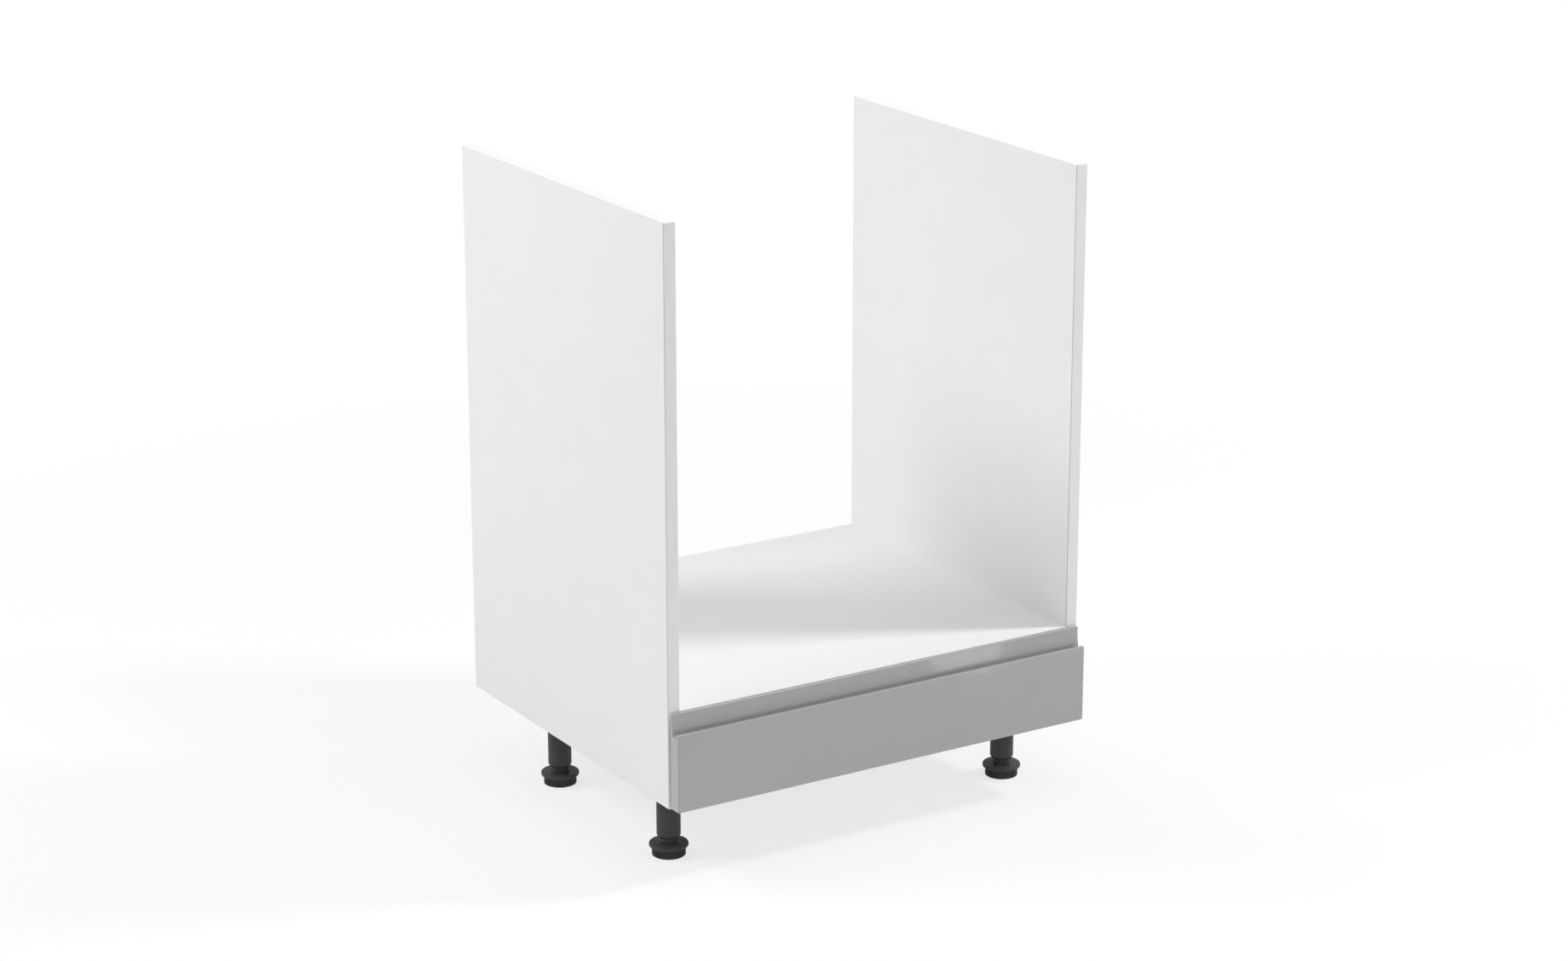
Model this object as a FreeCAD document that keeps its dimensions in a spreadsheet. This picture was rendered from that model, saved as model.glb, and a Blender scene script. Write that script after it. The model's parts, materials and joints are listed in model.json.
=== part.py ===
import FreeCAD, Part
import os
import Sketcher
from collections import namedtuple
from enum import IntEnum
from types import SimpleNamespace

# Oven base cabinet: two side panels, an oven shelf, a low drawer on roller runners and four screw legs.
# Frame: +Z up, the drawer faces -Y, origin on the floor under the middle of the whole cabinet.

# Driving dimensions in millimetres. Every other size and place follows from them.
DIMENSIONS = {
    # Carcass boards
    "cabinet_width": 600,
    "carcass_depth": 500,
    "side_height": 720,
    "leg_height": 100,
    "board": 16,
    "shelf_rise": 123,
    "edge_band": 1,
    "edge_round": 0.8,
    # Drawer front with its scooped finger groove
    "front_thickness": 18,
    "front_gap": 2,
    "front_side_margin": 1.5,
    "front_bottom_margin": 1,
    "front_top_margin": 1,
    "front_round": 1,
    "lip_drop": 22,
    "lip_thickness": 5.2,
    "lip_round": 1.5,
    "groove_depth": 3.9,
    "groove_wall": 5.8,
    "scoop_radius": 120,
    "top_lip": 3.5,
    "bumper_diameter": 8,
    "bumper_drop": 30,
    # Drawer box
    "drawer_base_clearance": 9,
    "drawer_top_clearance": 22,
    "drawer_rear_clearance": 34,
    "drawer_hold_back": 122,
    "slide_width": 12.5,
    "hardboard": 3,
    "hardboard_rise": 8,
    "hardboard_groove": 7,
    # Roller runners
    "steel": 1.2,
    "runner_rise": 6,
    "runner_front_inset": 3,
    "track_width": 10.5,
    "track_lip": 2.5,
    "upper_flange_width": 9,
    "ledge_inset": 2.6,
    "rail_leg": 12.7,
    "roller_diameter": 17,
    "roller_width": 6,
    "roller_inset": 15,
    "roller_lift": 1,
    "roller_chamfer": 0.6,
    "runner_head_room": 0.8,
    "stop_height": 5,
    "stop_thickness": 3,
    "stop_clearance": 1,
    "axle_diameter": 5,
    "axle_collar": 8,
    "axle_head": 0.8,
    # Legs
    "leg_side_inset": 34,
    "leg_front_inset": 88,
    "leg_rear_inset": 134,
    "plate_size": 60,
    "plate_thickness": 4,
    "plate_corner": 8,
    "plate_hole_margin": 8,
    "socket_wall": 3.5,
    "socket_depth": 16,
    "tube_diameter": 30,
    "tube_wall": 2.5,
    "tube_end": 24,
    "tube_chamfer_width": 2,
    "tube_chamfer_height": 3.5,
    "spindle_wall": 4,
    "spindle_length": 50,
    "spindle_clearance": 0.3,
    "flange_diameter": 49,
    "flange_thickness": 4.5,
    "flange_chamfer": 1,
    "pad_diameter": 42,
    "pad_height": 11.5,
    "pivot_diameter": 20,
    "pivot_depth": 7,
    "pivot_gap": 0.2,
    # Hidden joints between boards
    "connector_inset": 35,
    "cam_setback": 34,
    "cam_diameter": 15,
    "cam_depth": 12,
    "bolt_thread_diameter": 5,
    "bolt_thread_length": 10.5,
    "bolt_shaft_diameter": 6,
    "bolt_neck_diameter": 4,
    "bolt_neck_length": 4,
    "bolt_head_length": 7,
    "dowel_diameter": 8,
    "dowel_in_panel": 10,
    "dowel_in_board": 20,
    "dowel_spacing": 60,
    "dowel_chamfer": 1,
    # Screws
    "screw_shank": 3.5,
    "screw_length": 15,
    "screw_head_diameter": 7.5,
    "screw_head_height": 2,
    "flat_head_height": 1,
    "flat_screw_length": 12,
    "rail_screw_inset": 4.5,
    "runner_screw_margin": 45,
    "panel_screw_head_diameter": 7,
    "panel_screw_head_height": 3,
    "panel_screw_shank": 4.8,
    "panel_screw_length": 45,
    "back_screw_spacing": 300,
    "recess_width": 1,
    "recess_depth": 1.2,
    # Clearances
    "fit_clearance": 0.1,
    "running_clearance": 0.05,
}

# Ribs round a foot: each square prism gives four of them.
RIB_SQUARES = 10
SQUARE_SIDES = 4
# Radius of the groove's floor as a share of its width, a little over a half circle's.
GROOVE_BEND_SHARE = 0.53
# Bevel round a screw's head as a share of the head's height.
HEAD_BEVEL_SHARE = 0.5

Vector = FreeCAD.Vector
LEFT, RIGHT = Vector(-1, 0, 0), Vector(1, 0, 0)
FRONT, BACK = Vector(0, -1, 0), Vector(0, 1, 0)
DOWN, UP = Vector(0, 0, -1), Vector(0, 0, 1)
SIDES = {"left": -1, "right": 1}

doc = FreeCAD.newDocument("oven_base_cabinet")
sheet = doc.addObject("Spreadsheet::Sheet", "sizes")
nodes = []


class Size:
    """A length kept both as a number and as the sheet expression that gives it."""

    def __init__(self, text, number):
        self.text = text
        self.number = number

    @staticmethod
    def of(value):
        return value if isinstance(value, Size) else Size(repr(float(value)), float(value))

    def __add__(self, other):
        other = Size.of(other)
        return Size(f"({self.text} + {other.text})", self.number + other.number)

    def __sub__(self, other):
        other = Size.of(other)
        return Size(f"({self.text} - {other.text})", self.number - other.number)

    def __mul__(self, factor):
        return Size(f"({self.text} * {factor!r})", self.number * factor)

    def __truediv__(self, divisor):
        return Size(f"({self.text} / {divisor!r})", self.number / divisor)

    def __neg__(self):
        return self * -1

    __radd__ = __add__
    __rmul__ = __mul__


Arc = namedtuple("Arc", "x y radius turn")
ANTICLOCKWISE, CLOCKWISE = 1, -1


class Axis(IntEnum):
    """A sketch's own numbers for its two axes."""

    LEVEL = -1
    UPRIGHT = -2


class End(IntEnum):
    """A sketch's own numbers for the points of a curve."""

    START = 1
    FINISH = 2
    CENTRE = 3


def fill_sheet():
    """Writes the driving dimensions to the sheet and returns them as sizes."""
    for row, (name, number) in enumerate(DIMENSIONS.items(), start=1):
        sheet.set(f"A{row}", name.replace("_", " "))
        sheet.set(f"B{row}", str(number))
        sheet.setAlias(f"B{row}", name)
    doc.recompute()
    sizes = {name: Size(f"sizes.{name}", float(number)) for name, number in DIMENSIONS.items()}
    return SimpleNamespace(**sizes)


S = fill_sheet()


def bind(thing, name, value):
    thing.setExpression(name, Size.of(value).text)


def turn(along, across=None):
    """Rotation that takes a piece's own Z to one direction and its own X to another."""
    across = across or (RIGHT if along.z else UP)
    return FreeCAD.Rotation(across, along.cross(across), along, "ZXY")


def place(thing, x=0, y=0, z=0, rotation=FreeCAD.Rotation()):
    thing.Placement = FreeCAD.Placement(Vector(), rotation)
    bind(thing, "Placement.Base.x", x)
    bind(thing, "Placement.Base.y", y)
    bind(thing, "Placement.Base.z", z)


def node(thing, label):
    """Names a finished sub-part."""
    thing.Label = label
    nodes.append(thing)
    return thing


def box(name, x, y, z):
    """Block between the low and high ends given for each axis."""
    block = doc.addObject("Part::Box", name)
    bind(block, "Length", x[1] - x[0])
    bind(block, "Width", y[1] - y[0])
    bind(block, "Height", z[1] - z[0])
    place(block, x[0], y[0], z[0])
    return block


def rod(name, diameter, length, at, along):
    """Cylinder that starts at a point and runs along a direction."""
    cylinder = doc.addObject("Part::Cylinder", name)
    bind(cylinder, "Radius", diameter / 2)
    bind(cylinder, "Height", length)
    place(cylinder, *at, turn(along))
    return cylinder


def joined(name, pieces):
    fuse = doc.addObject("Part::MultiFuse", name)
    fuse.Shapes = pieces
    return fuse


def gathered(name, pieces):
    compound = doc.addObject("Part::Compound", name)
    compound.Links = pieces
    return compound


def cut(name, base, tools):
    result = doc.addObject("Part::Cut", name)
    result.Base = base
    result.Tool = gathered(f"{name}_cutters", tools)
    return result


def add_sketch(body, name, plane):
    sketch = body.newObject("Sketcher::SketchObject", name)
    support = [feature for feature in body.Origin.OriginFeatures if feature.Role == plane][0]
    sketch.AttachmentSupport = [(support, "")]
    sketch.MapMode = "FlatFace"
    return sketch


def fix_point(sketch, curve, end, x, y):
    """Ties a point of a sketch to its two distances from the sketch's origin."""
    for kind, axis, value in (("DistanceX", Axis.UPRIGHT, Size.of(x)), ("DistanceY", Axis.LEVEL, Size.of(y))):
        if value.number == 0:
            sketch.addConstraint(Sketcher.Constraint("PointOnObject", curve, end, axis))
        else:
            distance = Sketcher.Constraint(kind, Axis.LEVEL, End.START, curve, end, value.number)
            index = sketch.addConstraint(distance)
            bind(sketch, f"Constraints[{index}]", value)


def arc_between(start, finish, radius, direction):
    """The shorter arc from one point to another, turning the given way."""
    middle = (start + finish) / 2
    chord = finish - start
    rise = max(radius ** 2 - (chord.Length / 2) ** 2, 0) ** 0.5
    normal = Vector(-chord.y, chord.x, 0).normalize() * direction
    centre = middle + normal * rise
    through = centre - normal * radius
    return Part.Arc(start, through, finish)


def draw_outline(sketch, outline):
    """Closed outline whose corners and arc radii follow the sheet; the last corner joins the first."""
    corners = [Vector(Size.of(point[0]).number, Size.of(point[1]).number, 0) for point in outline]
    ends = []
    for index, corner in enumerate(corners):
        following = (index + 1) % len(outline)
        target = outline[following]
        if isinstance(target, Arc):
            radius = Size.of(target.radius)
            curve = sketch.addGeometry(arc_between(corner, corners[following], radius.number, target.turn))
            constraint = sketch.addConstraint(Sketcher.Constraint("Radius", curve, radius.number))
            bind(sketch, f"Constraints[{constraint}]", radius)
            anticlockwise = target.turn == ANTICLOCKWISE
            ends.append((curve, End.START, End.FINISH) if anticlockwise else (curve, End.FINISH, End.START))
        else:
            curve = sketch.addGeometry(Part.LineSegment(corner, corners[following]))
            ends.append((curve, End.START, End.FINISH))
    for index, (curve, start, finish) in enumerate(ends):
        next_curve, next_start, _ = ends[(index + 1) % len(ends)]
        sketch.addConstraint(Sketcher.Constraint("Coincident", curve, finish, next_curve, next_start))
        fix_point(sketch, curve, start, outline[index][0], outline[index][1])


def draw_circle(sketch, x, y, diameter):
    radius = Size.of(diameter / 2)
    centre = Vector(Size.of(x).number, Size.of(y).number, 0)
    curve = sketch.addGeometry(Part.Circle(centre, UP, radius.number))
    constraint = sketch.addConstraint(Sketcher.Constraint("Radius", curve, radius.number))
    bind(sketch, f"Constraints[{constraint}]", radius)
    fix_point(sketch, curve, End.CENTRE, x, y)


def rounded_strip(across, depth, radius):
    """Rectangle whose two corners at the first depth are rounded."""
    (low, high), (front, back) = across, depth
    return [
        (low, back),
        (low, front + radius),
        Arc(low + radius, front, radius, ANTICLOCKWISE),
        (high - radius, front),
        Arc(high, front + radius, radius, ANTICLOCKWISE),
        (high, back),
    ]


def upside_down(outline):
    return [
        Arc(point.x, -point.y, point.radius, -point.turn) if isinstance(point, Arc) else (point[0], -point[1])
        for point in outline
    ]


def axes_exchanged(outline):
    return [
        Arc(point.y, point.x, point.radius, -point.turn) if isinstance(point, Arc) else (point[1], point[0])
        for point in outline
    ]


def extruded(name, plane, outline, length, start):
    """Pad of an outline, running from a start towards the positive end of the axis across its plane."""
    body = doc.addObject("PartDesign::Body", name)
    sketch = add_sketch(body, f"{name}_outline", plane)
    draw_outline(sketch, outline)
    pad = body.newObject("PartDesign::Pad", f"{name}_pad")
    pad.Profile = sketch
    pad.Reversed = plane == "XZ_Plane"
    bind(pad, "Length", length)
    place(body, **{{"YZ_Plane": "x", "XZ_Plane": "y", "XY_Plane": "z"}[plane]: start})
    return body


def turned(name, outline):
    """Revolution of an outline of radii and heights about the piece's own Z."""
    body = doc.addObject("PartDesign::Body", name)
    sketch = add_sketch(body, f"{name}_outline", "XZ_Plane")
    draw_outline(sketch, outline)
    revolution = body.newObject("PartDesign::Revolution", f"{name}_turned")
    revolution.Profile = sketch
    revolution.ReferenceAxis = (sketch, ["V_Axis"])
    revolution.Angle = 360
    return body


def copies(label, master, places):
    """Group of identical pieces; each place is a point and a rotation."""
    links = []
    for index, (at, rotation) in enumerate(places, start=1):
        link = doc.addObject("App::Link", f"{label}_{index}")
        link.LinkedObject = master
        place(link, *at, rotation)
        links.append(link)
    return node(gathered(label, links), label)


# Shared lines of the cabinet
half_width = S.cabinet_width / 2
inner_half = half_width - S.board
front_face = -(S.carcass_depth + S.front_gap + S.front_thickness) / 2
front_back = front_face + S.front_thickness
carcass_front = front_back + S.front_gap
carcass_back = carcass_front + S.carcass_depth
carcass_middle = carcass_front + S.carcass_depth / 2
carcass_bottom = S.leg_height
carcass_top = carcass_bottom + S.side_height
base_top = carcass_bottom + S.board
shelf_top = carcass_bottom + S.shelf_rise
shelf_under = shelf_top - S.board
rear_rail_front = carcass_back - S.board
rear_rail_height = shelf_under - base_top

# Drawer front
front_half = half_width - S.front_side_margin
front_bottom = carcass_bottom + S.front_bottom_margin
front_top = shelf_top - S.front_top_margin
lip_top = front_top - S.lip_drop
groove_floor = lip_top - S.groove_depth

# Runner and roller heights
roller_radius = S.roller_diameter / 2
runner_bottom = base_top + S.runner_rise
track_top = runner_bottom + S.steel
rear_axis_height = track_top + S.running_clearance + roller_radius
front_axis_height = track_top + S.roller_lift + roller_radius
ledge_under = front_axis_height + roller_radius + S.running_clearance
ledge_top = ledge_under + S.steel
upper_flange_under = ledge_top + S.runner_head_room
runner_top = upper_flange_under + S.steel

# Drawer box
drawer_rear = rear_rail_front - S.drawer_rear_clearance
drawer_side_bottom = base_top + S.drawer_base_clearance
drawer_side_top = shelf_under - S.drawer_top_clearance
drawer_outer_half = inner_half - S.slide_width
drawer_inner_half = drawer_outer_half - S.board
hardboard_under = drawer_side_bottom + S.hardboard_rise
hardboard_top = hardboard_under + S.hardboard
drawer_back_height = drawer_side_top - hardboard_top

# Runner lengths and the drawer's stop
runner_front = carcass_front + S.runner_front_inset
front_axis_place = runner_front + S.roller_inset
rear_axis_place = drawer_rear - S.roller_inset
drawer_travel = drawer_rear - front_back - S.drawer_hold_back
stop_back = rear_axis_place - drawer_travel - roller_radius - S.stop_clearance

# Hidden joints: cams near both ends of a board, dowels about its middle
cam_places = (carcass_front + S.connector_inset, carcass_back - S.connector_inset)
dowel_places = (carcass_middle - S.dowel_spacing / 2, carcass_middle + S.dowel_spacing / 2)
joint_heights = (shelf_top - S.board / 2, base_top - S.board / 2)
rear_rail_middle = carcass_back - S.board / 2
rear_dowel_heights = (base_top + rear_rail_height / 4, shelf_under - rear_rail_height / 4)
drawer_bolt_height = hardboard_top + drawer_back_height / 3
drawer_dowel_height = drawer_side_top - drawer_back_height / 4
drawer_side_middle = drawer_outer_half - S.board / 2
back_middle = drawer_rear - S.board / 2
back_screw_heights = (hardboard_top + drawer_back_height / 3, drawer_side_top - drawer_back_height / 3)
back_screw_places = (-S.back_screw_spacing / 2, S.back_screw_spacing / 2)

# Hole sizes: a close or a loose fit on the diameter, and a clearance at the blind end
close_fit = S.fit_clearance * 2
loose_fit = close_fit * 2
dowel_hole = S.dowel_diameter + close_fit
dowel_panel_depth = S.dowel_in_panel + S.fit_clearance
dowel_board_depth = S.dowel_in_board + S.fit_clearance
bolt_thread_hole = S.bolt_thread_diameter + close_fit
bolt_thread_depth = S.bolt_thread_length + S.fit_clearance
bolt_shaft_hole = S.bolt_shaft_diameter + loose_fit
cam_hole = S.cam_diameter + close_fit
cam_hole_depth = S.cam_depth + S.fit_clearance
screw_hole = S.screw_shank + close_fit
screw_depth = S.screw_length + S.fit_clearance
panel_screw_depth = S.panel_screw_length + S.fit_clearance - S.board
panel_screw_hole = S.panel_screw_shank + close_fit
panel_screw_head_hole = S.panel_screw_head_diameter + close_fit
axle_hole = S.axle_diameter + close_fit

# Places of the runner screws, of the screws under the drawer rails and of the four legs
runner_screw_places = (
    runner_front + S.runner_screw_margin,
    (runner_front + drawer_rear) / 2,
    drawer_rear - S.runner_screw_margin,
)
runner_screw_height = (runner_bottom + runner_top) / 2
rail_screw_half = drawer_outer_half - S.rail_screw_inset
leg_half = inner_half - S.leg_side_inset
LEGS = {
    "front_left": (-leg_half, carcass_front + S.leg_front_inset),
    "front_right": (leg_half, carcass_front + S.leg_front_inset),
    "rear_left": (-leg_half, carcass_back - S.leg_rear_inset),
    "rear_right": (leg_half, carcass_back - S.leg_rear_inset),
}
plate_hole_offset = S.plate_size / 2 - S.plate_hole_margin
PLATE_HOLES = [(x * plate_hole_offset, y * plate_hole_offset) for x in (-1, 1) for y in (-1, 1)]


def inward(side):
    return RIGHT if side < 0 else LEFT


def outward(side):
    return LEFT if side < 0 else RIGHT


def span(one_end, other_end):
    """Two ends in rising order."""
    return sorted((one_end, other_end), key=lambda size: size.number)


def side_panel(label, side):
    """Side board with blind holes in its inner face for bolts, dowels and runner screws."""
    face = side * inner_half
    blank = box(
        f"{label}_blank", span(side * half_width, face), (carcass_front + S.edge_band, carcass_back),
        (carcass_bottom, carcass_top - S.edge_band),
    )
    holes = []
    for height in joint_heights:
        for along in cam_places:
            holes.append((bolt_thread_hole, bolt_thread_depth, along, height))
        for along in dowel_places:
            holes.append((dowel_hole, dowel_panel_depth, along, height))
    for height in rear_dowel_heights:
        holes.append((dowel_hole, dowel_panel_depth, rear_rail_middle, height))
    for along in runner_screw_places:
        holes.append((screw_hole, S.flat_screw_length, along, runner_screw_height))
    bores = [
        rod(f"{label}_bore_{index}", diameter, depth, (face, along, height), outward(side))
        for index, (diameter, depth, along, height) in enumerate(holes, start=1)
    ]
    node(cut(label, blank, bores), label)


def level_board_bores(label, height, cam_face, cam_along):
    """Bores that a board between the side panels needs at its two ends."""
    bores = []
    for name, side in SIDES.items():
        end = side * inner_half
        cam_centre = side * (inner_half - S.cam_setback)
        for index, along in enumerate(cam_places, start=1):
            stem = f"{label}_{name}_{index}"
            bolt_at, cam_at = (end, along, height), (cam_centre, along, cam_face)
            bores.append(rod(f"{stem}_bolt", bolt_shaft_hole, S.cam_setback, bolt_at, inward(side)))
            bores.append(rod(f"{stem}_cam", cam_hole, cam_hole_depth, cam_at, cam_along))
        for index, along in enumerate(dowel_places, start=1):
            stem = f"{label}_{name}_dowel_{index}"
            bores.append(rod(stem, dowel_hole, dowel_board_depth, (end, along, height), inward(side)))
    return bores


def oven_shelf():
    """Shelf that carries the oven; its cams are sunk in the underside."""
    blank = box(
        "oven_shelf_blank", (-inner_half, inner_half), (carcass_front + S.edge_band, carcass_back),
        (shelf_under, shelf_top),
    )
    bores = level_board_bores("oven_shelf", joint_heights[0], shelf_under, UP)
    node(cut("oven_shelf", blank, bores), "oven_shelf")


def bottom_panel():
    """Lowest board; its cams are sunk in the top, and the leg screws enter from below."""
    blank = box(
        "bottom_panel_blank", (-inner_half, inner_half), (carcass_front + S.edge_band, carcass_back),
        (carcass_bottom, base_top),
    )
    bores = level_board_bores("bottom_panel", joint_heights[1], base_top, DOWN)
    depth = screw_depth - S.plate_thickness
    for corner, (x, y) in LEGS.items():
        for index, (dx, dy) in enumerate(PLATE_HOLES, start=1):
            at = (x + dx, y + dy, carcass_bottom)
            bores.append(rod(f"bottom_panel_{corner}_{index}", screw_hole, depth, at, UP))
    for index, x in enumerate(back_screw_places, start=1):
        at = (x, rear_rail_middle, carcass_bottom)
        stem = f"bottom_panel_rail_{index}"
        bores.append(rod(f"{stem}_shank", panel_screw_hole, S.board, at, UP))
        bores.append(rod(f"{stem}_head", panel_screw_head_hole, S.panel_screw_head_height, at, UP))
    node(cut("bottom_panel", blank, bores), "bottom_panel")


def rear_rail():
    """Board on edge behind the drawer, between the bottom panel and the shelf."""
    across, depth = (-inner_half, inner_half), (rear_rail_front, carcass_back)
    blank = box("rear_rail_blank", across, depth, (base_top, shelf_under))
    bores = []
    for name, side in SIDES.items():
        for index, height in enumerate(rear_dowel_heights, start=1):
            at = (side * inner_half, rear_rail_middle, height)
            bores.append(rod(f"rear_rail_{name}_{index}", dowel_hole, dowel_board_depth, at, inward(side)))
    for index, x in enumerate(back_screw_places, start=1):
        at = (x, rear_rail_middle, base_top)
        bores.append(rod(f"rear_rail_screw_{index}", panel_screw_hole, panel_screw_depth, at, UP))
    node(cut("rear_rail", blank, bores), "rear_rail")


def edge_bands():
    """Thin strips glued to the edges that show, with slightly rounded corners."""
    front_depth = (carcass_front, carcass_front + S.edge_band)
    for name, side in SIDES.items():
        across = span(side * half_width, side * inner_half)
        label = f"front_edge_band_{name}"
        outline = rounded_strip(across, front_depth, S.edge_round)
        node(extruded(label, "XY_Plane", outline, S.side_height, carcass_bottom), label)
        label = f"top_edge_band_{name}"
        outline = upside_down(rounded_strip(across, (-carcass_top, S.edge_band - carcass_top), S.edge_round))
        length = S.carcass_depth - S.edge_band
        node(extruded(label, "XZ_Plane", outline, length, carcass_front + S.edge_band), label)
    for label, low, high in (
        ("shelf_edge_band", shelf_under, shelf_top),
        ("bottom_edge_band", carcass_bottom, base_top),
    ):
        outline = axes_exchanged(rounded_strip((low, high), front_depth, S.edge_round))
        node(extruded(label, "YZ_Plane", outline, inner_half * 2, -inner_half), label)


def cross_recess(stem, width, depth, height):
    """Two crossed slots that open downwards at a height on the piece's own axis."""
    half_long, half_wide, z = width / 2, S.recess_width / 2, (height, height + depth)
    return [
        box(f"{stem}_slot_x", (-half_long, half_long), (-half_wide, half_wide), z),
        box(f"{stem}_slot_y", (-half_wide, half_wide), (-half_long, half_long), z),
    ]


def screw_outline(head_diameter, head_height, shank, length):
    """Radii and heights of a screw: head below zero, shank and point above."""
    bevel = head_height * HEAD_BEVEL_SHARE
    return [
        (0, -head_height),
        (head_diameter / 2 - bevel, -head_height),
        (head_diameter / 2, bevel - head_height),
        (head_diameter / 2, 0),
        (shank / 2, 0),
        (shank / 2, length - shank),
        (0, length),
    ]


def make_wood_screw():
    blank = turned(
        "wood_screw_blank",
        screw_outline(S.screw_head_diameter, S.screw_head_height, S.screw_shank, S.screw_length),
    )
    slots = cross_recess("wood_screw", S.screw_head_diameter / 2, S.recess_depth, -S.screw_head_height)
    return cut("wood_screw", blank, slots)


def make_flat_screw():
    return turned(
        "flat_screw",
        screw_outline(S.screw_head_diameter, S.flat_head_height, S.screw_shank, S.flat_screw_length),
    )


def make_panel_screw():
    """Long screw whose head is sunk level with the board: zero is the board's face."""
    head_end = S.panel_screw_head_height
    blank = turned("panel_screw_blank", [
        (0, 0),
        (S.panel_screw_head_diameter / 2, 0),
        (S.panel_screw_head_diameter / 2, head_end - S.fit_clearance),
        (S.panel_screw_shank / 2, head_end - S.fit_clearance),
        (S.panel_screw_shank / 2, S.panel_screw_length - S.panel_screw_shank),
        (0, S.panel_screw_length),
    ])
    return cut("panel_screw", blank, cross_recess("panel_screw", S.panel_screw_shank, S.recess_depth, 0))


def make_cam_lock():
    """Cam disc with the mouth that takes a bolt's head; zero is the face that stays in sight."""
    disc = rod("cam_disc", S.cam_diameter, S.cam_depth, (0, 0, 0), UP)
    mouth_start = (-S.cam_diameter / 2, 0, S.board / 2)
    mouth = rod("cam_mouth", bolt_shaft_hole + loose_fit, S.cam_diameter, mouth_start, RIGHT)
    slots = cross_recess("cam", S.cam_diameter / 2, S.recess_depth, 0)
    return cut("cam_lock", disc, [mouth] + slots)


def make_cam_bolt():
    """Bolt whose thread lies below zero, in the panel, and whose head lies in the cam."""
    shaft = S.bolt_shaft_diameter / 2
    neck = S.bolt_neck_diameter / 2
    head_end = S.cam_setback + S.bolt_head_length / 2
    head_start = head_end - S.bolt_head_length
    neck_start = head_start - S.bolt_neck_length
    return turned("cam_bolt", [
        (0, -S.bolt_thread_length),
        (S.bolt_thread_diameter / 2, -S.bolt_thread_length),
        (S.bolt_thread_diameter / 2, 0),
        (shaft, 0),
        (shaft, neck_start),
        (neck, neck_start),
        (neck, head_start),
        (shaft, head_start),
        (shaft, head_end),
        (0, head_end),
    ])


def make_dowel():
    radius = S.dowel_diameter / 2
    return turned("dowel", [
        (0, -S.dowel_in_panel),
        (radius - S.dowel_chamfer, -S.dowel_in_panel),
        (radius, S.dowel_chamfer - S.dowel_in_panel),
        (radius, S.dowel_in_board - S.dowel_chamfer),
        (radius - S.dowel_chamfer, S.dowel_in_board),
        (0, S.dowel_in_board),
    ])


def carcass_fasteners(cam_lock, cam_bolt, dowel, panel_screw):
    cams, bolts, dowels = [], [], []
    for side in SIDES.values():
        end = side * inner_half
        cam_centre = side * (inner_half - S.cam_setback)
        for height, cam_face, cam_along in zip(joint_heights, (shelf_under, base_top), (UP, DOWN)):
            for along in cam_places:
                cams.append(((cam_centre, along, cam_face), turn(cam_along)))
                bolts.append(((end, along, height), turn(inward(side))))
            for along in dowel_places:
                dowels.append(((end, along, height), turn(inward(side))))
        for height in rear_dowel_heights:
            dowels.append(((end, rear_rail_middle, height), turn(inward(side))))
    copies("cam_locks", cam_lock, cams)
    copies("cam_bolts", cam_bolt, bolts)
    copies("wood_dowels", dowel, dowels)
    screws = [((x, rear_rail_middle, carcass_bottom), turn(UP)) for x in back_screw_places]
    copies("rear_rail_screws", panel_screw, screws)


def runner(label, side):
    """Steel channel on a side panel: a track for the drawer's roller, and a stop near its front."""
    def across(distance):
        return side * (inner_half - distance)

    profile = extruded(f"{label}_profile", "XZ_Plane", [
        (side * inner_half, runner_bottom),
        (across(S.track_width), runner_bottom),
        (across(S.track_width), track_top + S.track_lip),
        (across(S.track_width - S.steel), track_top + S.track_lip),
        (across(S.track_width - S.steel), track_top),
        (across(S.steel), track_top),
        (across(S.steel), upper_flange_under),
        (across(S.upper_flange_width), upper_flange_under),
        (across(S.upper_flange_width), runner_top),
        (side * inner_half, runner_top),
    ], drawer_rear - runner_front, runner_front)
    stop = box(
        f"{label}_stop", span(across(S.ledge_inset), across(S.ledge_inset + S.roller_width)),
        (stop_back - S.stop_thickness, stop_back), (track_top, track_top + S.stop_height),
    )
    holes = [(axle_hole, front_axis_place, front_axis_height)]
    holes += [(screw_hole, along, runner_screw_height) for along in runner_screw_places]
    bores = [
        rod(f"{label}_bore_{index}", diameter, S.steel, (side * inner_half, along, height), inward(side))
        for index, (diameter, along, height) in enumerate(holes, start=1)
    ]
    node(cut(label, joined(f"{label}_blank", [profile, stop]), bores), label)


def drawer_rail(label, side):
    """Z-shaped rail under a drawer side: a leg that carries the side, and a ledge over the front roller."""
    def across(distance):
        return side * (inner_half - distance)

    web = S.slide_width - S.steel
    profile = extruded(f"{label}_profile", "XZ_Plane", [
        (across(S.slide_width + S.rail_leg), drawer_side_bottom - S.steel),
        (across(web), drawer_side_bottom - S.steel),
        (across(web), ledge_under),
        (across(S.ledge_inset), ledge_under),
        (across(S.ledge_inset), ledge_top),
        (across(S.slide_width), ledge_top),
        (across(S.slide_width), drawer_side_bottom),
        (across(S.slide_width + S.rail_leg), drawer_side_bottom),
    ], drawer_rear - carcass_front, carcass_front)
    axle_at = (across(web), rear_axis_place, rear_axis_height)
    bores = [rod(f"{label}_axle_bore", axle_hole, S.steel, axle_at, inward(side))]
    for index, along in enumerate(runner_screw_places, start=1):
        at = (side * rail_screw_half, along, drawer_side_bottom - S.steel)
        bores.append(rod(f"{label}_screw_bore_{index}", screw_hole, S.steel, at, UP))
    node(cut(label, profile, bores), label)


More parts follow.
